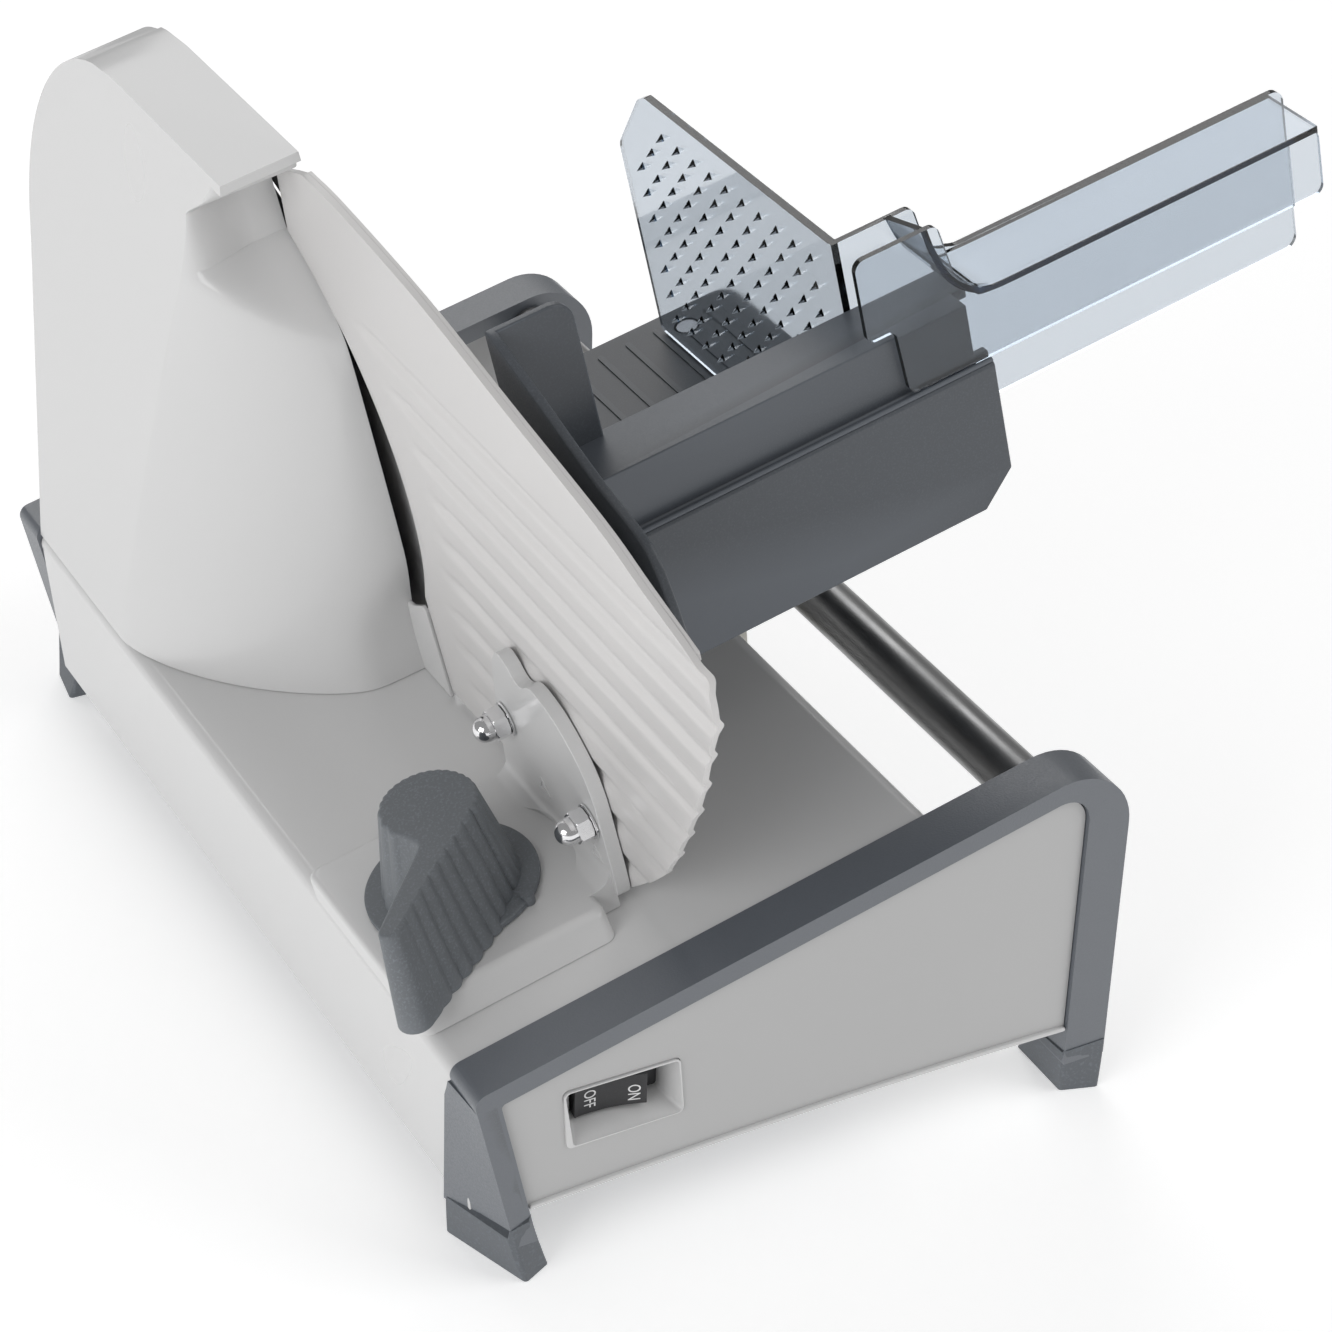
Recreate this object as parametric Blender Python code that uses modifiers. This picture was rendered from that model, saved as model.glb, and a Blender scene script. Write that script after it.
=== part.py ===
"""Domestic deli meat slicer: tilted base, blade housing, food carriage, food pusher,
gauge plate and thickness knob, each piece a separate solid on its own moving frame.

Deck frame: x runs up the tilted deck from the slice side to the food side, y runs from
the switch end to the rear, z stands square to the deck.  Its origin is the outer left
corner of the front end frame's top edge.  The room frame has the same origin on the
ground, with z straight up.
"""
import math

import bmesh
import bpy
from mathutils import Matrix, Vector

# ---- driving dimensions, metres ----------------------------------------------------
TILT = math.radians(14.0)
RIDGE_HEIGHT = 0.0742
GAP = 0.0003                       # clearance between neighbouring pieces

LENGTH = 0.364                     # front end frame's face to rear end frame's face
WIDTH = 0.218                      # across the end frames
FRAME_DEPTH = 0.017
FRAME_RADIUS = 0.020               # round corner on the high side
BAND = 0.0063                      # top band of an end frame
HIGH_LEG = 0.0145
WEB = 0.0033                       # back wall of an end frame
SILL = 0.027                       # lower edge of the end panels above the ground
PANEL_SET_BACK = 0.0015
PANEL_THICKNESS = 0.003
LOW_FOOT_TOP = 0.0217
HIGH_FOOT_TOP = 0.0187

TRAY_TOP = -0.002
TRAY_WIDTH = 0.163
TRAY_EDGE = 0.005
TRAY_WALL = 0.0025
TRAY_SIDE = 0.054                  # depth of the low side wall
TRAY_BASE = 0.033                  # height of the tray's open underside

RAIL_X, RAIL_Z = 0.1954, -0.0113
RAIL_RADIUS = 0.0084
RAIL_BORE = 0.0033

BLADE_RADIUS = 0.089
BLADE_Y, BLADE_Z = 0.243, 0.086
BLADE_X = 0.0790                   # slice-side face of the blade
BLADE_THICKNESS = 0.0015

GUARD_X, GUARD_THICKNESS = 0.0798, 0.0014  # fixed guard round the blade's back
GUARD_INNER, GUARD_OUTER, GUARD_TOP = 0.0912, 0.098, 0.183

HOUSING_FACE = 0.0762              # flat face beside the blade
HOUSING_WALL = 0.003
HOUSING_TOP = 0.2023
HOUSING_SIDE = 0.0019              # upright outer wall, from the low edge of the deck
HOUSING_BACK = 0.346
HOOD_RADIUS = 0.085
HOOD_FRONT = 0.1655
HOOD_EDGE = 0.0047

GAUGE_FACE = 0.0756                # slice-side face of the gauge plate
GAUGE_THICKNESS = 0.0019
GAUGE_EDGE_RADIUS = 0.0908         # its rear edge, round the blade's centre
GAUGE_CLOSE, GAUGE_OPEN = 0.002, 0.0095

KNOB_X, KNOB_Y = 0.0330, 0.0753
KNOB_TOP = 0.0413
KNOB_HEADING = math.radians(218.5)
DIAL_RADIUS, DIAL_THICKNESS = 0.026, 0.0030
PLATFORM_FRONT, PLATFORM_REAR, PLATFORM_SIDE = 0.0332, 0.112, 0.0645
PLATFORM_TOP = 0.0075
CAM_TURN = math.radians(14.0) / 0.001     # knob angle for each metre of gauge travel
CAM_PIN_RADIUS = 0.002
CAM_PIN_X = KNOB_X + 0.019
CAM_RUN_OUT = 0.0016             # groove length past each end of the travel

WALL_Y, WALL_THICKNESS = 0.0708, 0.0029   # carriage wall, face towards the operator
FLANGE_X, FLANGE_THICKNESS = 0.086, 0.0028
LEDGE_FRONT, LEDGE_Z = 0.0523, 0.136
APRON_FRONT, APRON_TOP, APRON_BASE = 0.0485, 0.1155, 0.0671
CARRIAGE_END = 0.224
DECK_Z, DECK_THICKNESS = 0.0567, 0.0032
DECK_BACK = 0.222

PUSHER_X, PUSHER_THICKNESS = 0.1924, 0.0026
PUSHER_SKIN = 0.0020
SPIKE_PITCH_Y, SPIKE_PITCH_Z = 0.0105, 0.0102
HANDLE_FRONT, HANDLE_BACK = 0.0499, 0.0764
HANDLE_TOP, HANDLE_LIP = 0.1390, 0.1168
HANDLE_END = 0.341

WHEEL_TEETH = 20
WHEEL_TIP, WHEEL_ROOT = 0.0250, 0.0210
WHEEL_X, WHEEL_WIDTH = 0.0455, 0.005
WORM_CORE, WORM_TIP = 0.0050, 0.0075
WORM_Z = BLADE_Z - 0.0312
WORM_LEAD = 2 * math.pi * 0.0238 / WHEEL_TEETH
MOTOR_RADIUS = 0.0215

DECK = Matrix.Translation((0, 0, RIDGE_HEIGHT)) @ Matrix.Rotation(-TILT, 4, 'Y')
ROOM = Matrix.Identity(4)
FLAT = (0, 0, 0)
SIDE = (math.pi / 2, 0, math.pi / 2)      # local x, y, z lie along frame y, z, x
FRONT = (math.pi / 2, 0, 0)               # local x, y, z lie along frame x, z, -y


# ---- scene ------------------------------------------------------------------------
def clear_scene():
    for obj in list(bpy.data.objects):
        bpy.data.objects.remove(obj, do_unlink=True)
    for group in list(bpy.data.collections):
        bpy.data.collections.remove(group)


def new_collection(name):
    group = bpy.data.collections.new(name)
    bpy.context.scene.collection.children.link(group)
    return group


clear_scene()
PARTS = new_collection("deli_meat_slicer")
CUTTERS = new_collection("cutters")


def make_material(name, color, roughness, metallic=0.0, alpha=1.0):
    material = bpy.data.materials.new(name)
    material.use_nodes = True
    shader = material.node_tree.nodes["Principled BSDF"]
    shader.inputs["Base Color"].default_value = (*color, 1.0)
    shader.inputs["Roughness"].default_value = roughness
    shader.inputs["Metallic"].default_value = metallic
    shader.inputs["Alpha"].default_value = alpha
    return material


SHELL = make_material("light_grey_enamel", (0.62, 0.62, 0.61), 0.35)
INSET = make_material("grey_panel", (0.46, 0.46, 0.46), 0.4)
TRIM = make_material("dark_grey_trim", (0.13, 0.145, 0.165), 0.5)
FOOT = make_material("foot_rubber", (0.11, 0.12, 0.13), 0.7)
STEEL = make_material("steel", (0.55, 0.54, 0.52), 0.3, 1.0)
CHROME = make_material("chrome", (0.75, 0.75, 0.76), 0.12, 1.0)
GAUGE = make_material("gauge_enamel", (0.62, 0.60, 0.57), 0.45)
CARRIAGE = make_material("carriage_plastic", (0.085, 0.095, 0.11), 0.45)
CLEAR = make_material("smoke_plastic", (0.45, 0.55, 0.65), 0.08, 0.0, 0.35)
KNOB = make_material("knob_plastic", (0.13, 0.14, 0.155), 0.5)
BLACK = make_material("black_plastic", (0.02, 0.02, 0.02), 0.4)
NYLON = make_material("nylon", (0.6, 0.59, 0.54), 0.5)
BRONZE = make_material("bronze", (0.45, 0.3, 0.15), 0.35, 1.0)
COPPER = make_material("motor_steel", (0.35, 0.35, 0.36), 0.4, 1.0)


# ---- bodies -----------------------------------------------------------------------
BODY_MATRIX = {}


def make_body(name, parent=None, frame=ROOM, point=(0, 0, 0)):
    """Add an empty that carries one rigid body, on that body's joint axis."""
    empty = bpy.data.objects.new(name, None)
    PARTS.objects.link(empty)
    world = frame @ Matrix.Translation(point)
    if parent is not None:
        empty.parent = parent
        world_in_parent = BODY_MATRIX[parent.name].inverted() @ world
        empty.location = world_in_parent.to_translation()
        empty.rotation_euler = world_in_parent.to_euler()
    BODY_MATRIX[name] = world
    return empty


def place(obj, body, location, rotation, frame):
    """Parent obj to a body while keeping its location and rotation in frame."""
    obj.parent = body
    obj.matrix_parent_inverse = BODY_MATRIX[body.name].inverted() @ frame
    obj.location = location
    obj.rotation_euler = rotation


def add_object(name, mesh, body, material, location, rotation, frame):
    obj = bpy.data.objects.new(name, mesh)
    if material is None:
        CUTTERS.objects.link(obj)
        obj.hide_render = True
        obj.display_type = 'WIRE'
    else:
        PARTS.objects.link(obj)
        mesh.materials.append(material)
    place(obj, body, location, rotation, frame)
    return obj


# ---- shapes -----------------------------------------------------------------------
def finish_mesh(build, name):
    bmesh.ops.recalc_face_normals(build, faces=build.faces)
    mesh = bpy.data.meshes.new(name)
    build.to_mesh(mesh)
    build.free()
    return mesh


def block(name, body, material, low, high, bevel=0.0, frame=DECK):
    """A box between two corners, with its long edges rounded if bevel is given."""
    low, high = Vector(low), Vector(high)
    build = bmesh.new()
    bmesh.ops.create_cube(build, size=1.0)
    bmesh.ops.scale(build, vec=high - low, verts=build.verts)
    mesh = finish_mesh(build, name)
    obj = add_object(name, mesh, body, material, (low + high) / 2, FLAT, frame)
    if bevel:
        round_edges(obj, bevel)
    return obj


def round_edges(obj, width, segments=2, angle=40.0):
    bevel = obj.modifiers.new("Bevel", 'BEVEL')
    bevel.width = width
    bevel.segments = segments
    bevel.limit_method = 'ANGLE'
    bevel.angle_limit = math.radians(angle)
    bevel.use_clamp_overlap = True


def rod(name, body, material, start, length, radius, rotation, segments=24, frame=DECK,
        tip_radius=None):
    """A cylinder or cone from start along its local z."""
    build = bmesh.new()
    bmesh.ops.create_cone(build, cap_ends=True, segments=segments, radius1=radius,
                          radius2=radius if tip_radius is None else tip_radius,
                          depth=length, matrix=Matrix.Translation((0, 0, length / 2)))
    mesh = finish_mesh(build, name)
    obj = add_object(name, mesh, body, material, start, rotation, frame)
    smooth(obj)
    return obj


def smooth(obj):
    obj.data.shade_smooth()
    obj.data.set_sharp_from_angle(angle=math.radians(35))


def turned(name, body, material, profile, location, rotation, steps=32, frame=DECK):
    """A turned shape from (radius, height) points that run down its outer side."""
    mesh = bpy.data.meshes.new(name)
    points = [(radius, 0, height) for radius, height in profile]
    closed = all(radius > 0 for radius, height in profile)
    edges = [(i, i + 1) for i in range(len(points) - 1)]
    if closed:
        edges.append((len(points) - 1, 0))
    mesh.from_pydata(points, edges, [])
    obj = add_object(name, mesh, body, material, location, rotation, frame)
    screw = obj.modifiers.new("Screw", 'SCREW')
    screw.steps = steps
    screw.render_steps = steps
    screw.use_merge_vertices = True
    screw.merge_threshold = 0.00001
    return obj


def outline_mesh(name, outline, thickness, holes=()):
    """A flat outline in local x-y, extruded equally to both sides of it."""
    curve = bpy.data.curves.new(name, 'CURVE')
    curve.dimensions = '2D'
    curve.fill_mode = 'BOTH'
    curve.extrude = thickness / 2
    for loop in (outline, *holes):
        spline = curve.splines.new('POLY')
        spline.points.add(len(loop) - 1)
        for point, (x, y) in zip(spline.points, loop):
            point.co = (x, y, 0, 1)
        spline.use_cyclic_u = True
    guide = bpy.data.objects.new(name, curve)
    CUTTERS.objects.link(guide)
    graph = bpy.context.evaluated_depsgraph_get()
    raw = bpy.data.meshes.new_from_object(guide.evaluated_get(graph))
    bpy.data.objects.remove(guide, do_unlink=True)
    build = bmesh.new()
    build.from_mesh(raw)
    bmesh.ops.remove_doubles(build, verts=build.verts, dist=0.000005)
    return finish_mesh(build, name)


def plate(name, body, material, outline, near, far, rotation, frame=DECK, holes=()):
    """An outline extruded from near to far along the axis that rotation leaves free."""
    mesh = outline_mesh(name, outline, abs(far - near), holes)
    middle = (near + far) / 2
    location = {FLAT: (0, 0, middle), SIDE: (middle, 0, 0), FRONT: (0, middle, 0)}[rotation]
    return add_object(name, mesh, body, material, location, rotation, frame)


def loft(name, body, material, rings, frame=DECK):
    """A closed solid through rings of points, one ring above another."""
    build = bmesh.new()
    levels = [[build.verts.new(point) for point in ring] for ring in rings]
    count = len(rings[0])
    for lower, upper in zip(levels, levels[1:]):
        for i in range(count):
            j = (i + 1) % count
            build.faces.new((lower[i], lower[j], upper[j], upper[i]))
    build.faces.new(levels[0])
    build.faces.new(levels[-1])
    return add_object(name, finish_mesh(build, name), body, material, (0, 0, 0), FLAT, frame)


def combine(obj, tool, operation):
    modifier = obj.modifiers.new(operation.title(), 'BOOLEAN')
    modifier.operation = operation
    modifier.solver = 'EXACT'
    modifier.object = tool


def cut(obj, *tools):
    for tool in tools:
        combine(obj, tool, 'DIFFERENCE')


def join(obj, *tools):
    for tool in tools:
        combine(obj, tool, 'UNION')


def arc(center_x, center_y, radius, start, end, count):
    """Points from one angle to another, in degrees."""
    step = (end - start) / (count - 1)
    angles = [math.radians(start + step * i) for i in range(count)]
    return [(center_x + radius * math.cos(a), center_y + radius * math.sin(a)) for a in angles]


def rounded_rectangle(low_x, low_y, high_x, high_y, radius, count=4):
    corners = ((high_x - radius, high_y - radius, 0), (low_x + radius, high_y - radius, 90),
               (low_x + radius, low_y + radius, 180), (high_x - radius, low_y + radius, 270))
    points = []
    for x, y, start in corners:
        points += arc(x, y, radius, start, start + 90, count)
    return points


def circle(center_x, center_y, radius, count=24):
    return arc(center_x, center_y, radius, 0, 360 - 360 / count, count)


def mirror_y(value, rear):
    """A position along the slicer, or its mirror image at the rear end."""
    return LENGTH - value if rear else value


# ---- frame: ends, feet, tray -------------------------------------------------------
def ridge(x):
    """Height of the end frames' sloping top edge above the ground."""
    return RIDGE_HEIGHT + x * math.tan(TILT)


def low_leg(height, inner):
    """x of the leaning leg's outer or inner edge at a height."""
    if inner:
        return 0.0086 + (0.0695 - height) * 0.2187
    return (RIDGE_HEIGHT - height) * math.tan(TILT) * 0.91


def frame_outline():
    center_x = WIDTH - FRAME_RADIUS
    center_z = ridge(center_x) - FRAME_RADIUS / math.cos(TILT)
    points = [(low_leg(LOW_FOOT_TOP, False), LOW_FOOT_TOP), (0, RIDGE_HEIGHT)]
    points += arc(center_x, center_z, FRAME_RADIUS, 90 + math.degrees(TILT), 0, 9)
    points += [(WIDTH, HIGH_FOOT_TOP), (WIDTH - HIGH_LEG, HIGH_FOOT_TOP)]
    points += [(WIDTH - HIGH_LEG, SILL), (low_leg(SILL, True), SILL)]
    points += [(low_leg(LOW_FOOT_TOP, True), LOW_FOOT_TOP)]
    return points


def panel_outline(margin, sill):
    """The inset panel inside the end frame's band, smaller all round by margin."""
    radius = 0.006
    right = WIDTH - HIGH_LEG - margin
    drop = (BAND + margin) / math.cos(TILT)
    center_x = right - radius
    center_z = ridge(center_x) - drop - radius / math.cos(TILT)
    corner_x = low_leg(0.0695, True) + margin
    points = [(low_leg(sill, True) + margin, sill), (corner_x, ridge(corner_x) - drop)]
    points += arc(center_x, center_z, radius, 90 + math.degrees(TILT), 0, 5)
    points += [(right, sill)]
    return points


SWITCH_LOW, SWITCH_HIGH = (0.0293, 0.0449), (0.0681, 0.0657)
ROCKER_LOW, ROCKER_HIGH = (0.0360, 0.0488), (0.0588, 0.0602)


def rail_point():
    point = DECK @ Vector((RAIL_X, 0, RAIL_Z))
    return point.x, point.z


def make_end(body, rear):
    end = "rear" if rear else "front"
    face = mirror_y(0, rear)
    back = mirror_y(FRAME_DEPTH, rear)
    web = mirror_y(FRAME_DEPTH - WEB, rear)
    outside = mirror_y(-0.001, rear)
    trim = plate(end + "_trim", body, TRIM, frame_outline(), face, back, FRONT, ROOM)
    cut(trim, plate(end + "_trim_pocket", body, None, panel_outline(0, SILL - 0.003),
                    outside, web, FRONT, ROOM))
    rail_x, rail_z = rail_point()
    cut(trim, plate(end + "_rail_screw_hole", body, None, circle(rail_x, rail_z, RAIL_BORE, 16),
                    outside, mirror_y(FRAME_DEPTH + 0.001, rear), FRONT, ROOM))
    holes = ()
    if not rear:
        hole = (SWITCH_LOW[0] - GAP, SWITCH_LOW[1] - GAP, SWITCH_HIGH[0] + GAP,
                SWITCH_HIGH[1] + GAP)
        holes = (list(reversed(rounded_rectangle(*hole, 0.002, 3))),)
        cut(trim, block("switch_opening", body, None,
                        (SWITCH_LOW[0] - 0.001, 0.010, SWITCH_LOW[1] - 0.001),
                        (SWITCH_HIGH[0] + 0.001, 0.020, SWITCH_HIGH[1] + 0.001), frame=ROOM))
    plate(end + "_panel", body, INSET, panel_outline(GAP, SILL), mirror_y(PANEL_SET_BACK, rear),
          mirror_y(PANEL_SET_BACK + PANEL_THICKNESS, rear), FRONT, ROOM, holes)
    for side in ("low", "high"):
        make_foot(end + "_" + side + "_foot", body, side, rear)
    screw = rod(end + "_rail_screw", body, STEEL, (rail_x, mirror_y(0.0095, rear), rail_z),
                0.0039, 0.005, (math.pi / 2 if rear else -math.pi / 2, 0, 0), 16, ROOM)
    join(screw, rod(end + "_rail_screw_shank", body, None,
                    (rail_x, mirror_y(0.012, rear), rail_z), 0.022, RAIL_BORE - GAP,
                    (math.pi / 2 if rear else -math.pi / 2, 0, 0), 16, ROOM))


def make_foot(name, body, side, rear):
    """A flared rubber cap: leg section on top, wider and deeper on the ground."""
    if side == "low":
        top = LOW_FOOT_TOP - GAP
        upper = [(low_leg(top, False), 0), (low_leg(top, True), 0),
                 (low_leg(top, True), FRAME_DEPTH), (low_leg(top, False), FRAME_DEPTH)]
        lower = [(0.0168, 0), (0.0262, 0.003), (0.0262, 0.033), (0.0057, 0.033)]
    else:
        top = HIGH_FOOT_TOP - GAP
        upper = [(WIDTH - HIGH_LEG, 0), (WIDTH, 0), (WIDTH, FRAME_DEPTH),
                 (WIDTH - HIGH_LEG, FRAME_DEPTH)]
        lower = [(0.2055, 0.003), (WIDTH, 0), (WIDTH, 0.029), (0.2055, 0.029)]
    rings = [[(x, mirror_y(y, rear), 0) for x, y in lower],
             [(x, mirror_y(y, rear), top) for x, y in upper]]
    loft(name, body, FOOT, rings, ROOM)


def skirt_x():
    """Room x of the tray's upright high-side wall."""
    corner = DECK @ Vector((TRAY_WIDTH - TRAY_EDGE, 0, TRAY_TOP - TRAY_EDGE))
    return corner.x + TRAY_EDGE


def make_tray(body):
    """A bent sheet: low side wall square to the deck, high side wall upright."""
    foot = DECK.inverted() @ Vector((skirt_x(), 0, TRAY_BASE))
    edge = TRAY_EDGE
    section = [(0.0005, -TRAY_SIDE)]
    section += arc(0.0005 + edge, TRAY_TOP - edge, edge, 180, 90, 5)
    section += arc(TRAY_WIDTH - edge, TRAY_TOP - edge, edge, 90, -math.degrees(TILT), 6)
    section += [(foot.x, foot.z)]
    build = bmesh.new()
    y_low, y_high = FRAME_DEPTH + GAP, LENGTH - FRAME_DEPTH - GAP
    front = [build.verts.new((x, y_low, z)) for x, z in section]
    back = [build.verts.new((x, y_high, z)) for x, z in section]
    for i in range(len(section) - 1):
        build.faces.new((front[i], front[i + 1], back[i + 1], back[i]))
    mesh = bpy.data.meshes.new("base_tray")
    build.to_mesh(mesh)
    build.free()
    tray = add_object("base_tray", mesh, body, SHELL, (0, 0, 0), FLAT, DECK)
    solid = tray.modifiers.new("Solidify", 'SOLIDIFY')
    solid.thickness = TRAY_WALL
    solid.offset = -1.0
    solid.use_even_offset = True
    top, under = TRAY_TOP + 0.002, TRAY_TOP - 0.006
    cut(tray, block("blade_groove", body, None, (BLADE_X - 0.0012, BLADE_Y - 0.030, under),
                    (BLADE_X + BLADE_THICKNESS + 0.0012, BLADE_Y + 0.030, top)))
    cut(tray, rod("knob_shaft_hole", body, None, (KNOB_X, KNOB_Y, under), 0.010, 0.0045, FLAT))
    slot = rounded_rectangle(CAM_PIN_X - GAUGE_OPEN - 0.003, KNOB_Y - 0.0026,
                             CAM_PIN_X + GAUGE_CLOSE + 0.003, KNOB_Y + 0.0026, 0.002, 3)
    cut(tray, plate("cam_pin_slot", body, None, slot, under, top, FLAT))
    cut(tray, rod("arbor_cable_hole", body, None, (0.040, 0.300, under), 0.010, 0.006, FLAT))


def make_bottom_cover(body):
    wall_depth = (RIDGE_HEIGHT - TRAY_BASE) / math.cos(TILT)
    left = (DECK @ Vector((0.0005, 0, -wall_depth))).x + 0.004
    right = skirt_x() - TRAY_WALL - 2 * GAP
    low_y, high_y = FRAME_DEPTH + 0.001, LENGTH - FRAME_DEPTH - 0.001
    vents = [rounded_rectangle(0.060, y, 0.100, y + 0.004, 0.0018, 3)
             for y in (0.270, 0.282, 0.294, 0.306)]
    spots = [(left + 0.010, 0.030), (right - 0.010, 0.030), (left + 0.010, 0.334),
             (right - 0.010, 0.334)]
    holes = [circle(x, y, 0.0022, 12) for x, y in spots]
    outline = rounded_rectangle(left, low_y, right, high_y, 0.003, 3)
    inner = [list(reversed(loop)) for loop in vents + holes]
    top = TRAY_BASE - GAP
    plate("bottom_cover", body, TRIM, outline, top - 0.0022, top, FLAT, ROOM, inner)
    for number, (x, y) in enumerate(spots, 1):
        head = rod("cover_screw_%d" % number, body, STEEL, (x, y, top - 0.0044), 0.0019,
                   0.0036, FLAT, 12, ROOM)
        join(head, rod("cover_screw_shank_%d" % number, body, None, (x, y, top - 0.003),
                       0.009, 0.0018, FLAT, 12, ROOM))


def make_rail(body):
    y_low, y_high = FRAME_DEPTH + GAP, LENGTH - FRAME_DEPTH - GAP
    rail = rod("carriage_rail", body, STEEL, (RAIL_X, y_low, RAIL_Z), y_high - y_low,
               RAIL_RADIUS, (-math.pi / 2, 0, 0), 32)
    cut(rail, rod("rail_bore", body, None, (RAIL_X, y_low - 0.01, RAIL_Z),
                  y_high - y_low + 0.02, RAIL_BORE, (-math.pi / 2, 0, 0), 16))
    face = skirt_x() + GAP
    guide = block("guide_bar", body, STEEL, (face, 0.030, GUIDE_Z), (face + 0.009, 0.334,
                  GUIDE_Z + 0.005), 0.0008, ROOM)
    return guide


GUIDE_Z = 0.078                    # underside of the guide bar, in the room frame


# ---- housing and drive --------------------------------------------------------------
def housing_ring(height, inset):
    """Horizontal section of the blade housing: flat by the blade, round at the front."""
    left = (HOUSING_SIDE + height * math.sin(TILT)) / math.cos(TILT) + inset
    right = HOUSING_FACE - inset
    rise = max(0.0, 1.0 - max(height, 0.0) / HOUSING_TOP)
    reach = 0.003 + 0.091 * rise ** 0.75
    front = HOOD_FRONT + 0.011 * rise + inset
    power = 1.5
    ring = []
    for i in range(13):
        angle = math.radians(90 * i / 12)
        across = math.sin(angle) ** (2 / power)
        along = math.cos(angle) ** (2 / power)
        ring.append((right - (right - left) * across, front + reach * (1 - along), height))
    back = HOUSING_BACK + 0.02
    ring += [(left, back, height), (right, back, height)]
    return ring


def housing_solid(name, body, material, inset, base):
    levels = [base, 0.0, 0.03, 0.06, 0.09, 0.12, 0.15, 0.175, 0.19, HOUSING_TOP - inset]
    solid = loft(name, body, material, [housing_ring(z, inset) for z in levels])
    center_y, center_z = HOUSING_BACK - 0.013 - HOOD_RADIUS, HOUSING_TOP - HOOD_RADIUS
    top = HOUSING_TOP - inset
    outline = [(0.10, base - 0.01), (HOUSING_BACK - inset, base - 0.01)]
    outline += arc(center_y, center_z, HOOD_RADIUS - inset, 0, 90, 13)
    outline += [(0.10, top + (0.01 if inset == 0 else 0))]
    if inset == 0:
        outline[-2] = (center_y, top)
        outline[-1] = (0.10, top)
    keep = plate(name + "_profile", body, None, outline, -0.03, 0.12, SIDE)
    combine(solid, keep, 'INTERSECT')
    return solid


def recess_outline(margin):
    """The space in which the gauge plate's rear edge moves, outside the blade's circle."""
    radius = BLADE_RADIUS + 0.0003 - margin
    back, low = 0.197 + margin, 0.040 - margin
    high = HOUSING_TOP - HOOD_EDGE + margin
    start = 180 + math.degrees(math.asin((BLADE_Z - low) / radius))
    end = 180 - math.degrees(math.acos((BLADE_Y - back) / radius))
    points = [(0.14, high), (0.14, low)]
    points += arc(BLADE_Y, BLADE_Z, radius, start, end, 13)
    points += [(back, high)]
    return points


def make_housing(body):
    housing = housing_solid("motor_housing", body, SHELL, 0.0, TRAY_TOP + GAP)
    inside = housing_solid("housing_inside", body, None, HOUSING_WALL, TRAY_TOP - 0.01)
    depth = GAUGE_FACE - GAUGE_OPEN - 0.001
    cut(inside, plate("recess_wall", body, None, recess_outline(HOUSING_WALL),
                      depth - HOUSING_WALL, 0.09, SIDE))
    cut(housing, inside)
    cut(housing, plate("gauge_recess", body, None, recess_outline(0), depth, 0.09, SIDE))
    cut(housing, rod("arbor_opening", body, None, (0.060, BLADE_Y, BLADE_Z), 0.03, 0.0145,
                     (0, math.pi / 2, 0)))
    inlet = (0.030, HOUSING_BACK - 0.008, 0.022)
    cut(housing, rod("inlet_hole", body, None, inlet, 0.02, 0.0055 + GAP, (-math.pi / 2, 0, 0)))
    gland = rod("power_inlet", body, BLACK, inlet, 0.016, 0.0055, (-math.pi / 2, 0, 0))
    join(gland, rod("inlet_flange", body, None, (0.030, HOUSING_BACK + GAP, 0.022), 0.002, 0.008,
                    (-math.pi / 2, 0, 0)))
    cut(gland, rod("inlet_bore", body, None, (0.030, HOUSING_BACK - 0.02, 0.022), 0.05, 0.0032,
                   (-math.pi / 2, 0, 0)))


def make_blade_guard(body):
    """A plate round the blade's top and back, held off the housing on three posts."""
    top_angle = math.degrees(math.asin((GUARD_TOP - BLADE_Z) / GUARD_OUTER))
    outline = arc(BLADE_Y, BLADE_Z, GUARD_OUTER, -20, top_angle, 16)
    outline += [(0.1855, GUARD_TOP)]
    outline += arc(BLADE_Y, BLADE_Z, GUARD_INNER, 126, -20, 22)
    guard = plate("blade_guard", body, STEEL, outline, GUARD_X, GUARD_X + GUARD_THICKNESS, SIDE)
    middle = (GUARD_INNER + GUARD_OUTER) / 2
    for number, angle in enumerate((100, 45, -10), 1):
        y = BLADE_Y + middle * math.cos(math.radians(angle))
        z = BLADE_Z + middle * math.sin(math.radians(angle))
        start = HOUSING_FACE + GAP
        join(guard, rod("guard_post_%d" % number, body, None, (start, y, z),
                        GUARD_X - start + 0.0007, 0.0028, (0, math.pi / 2, 0), 16))


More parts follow.
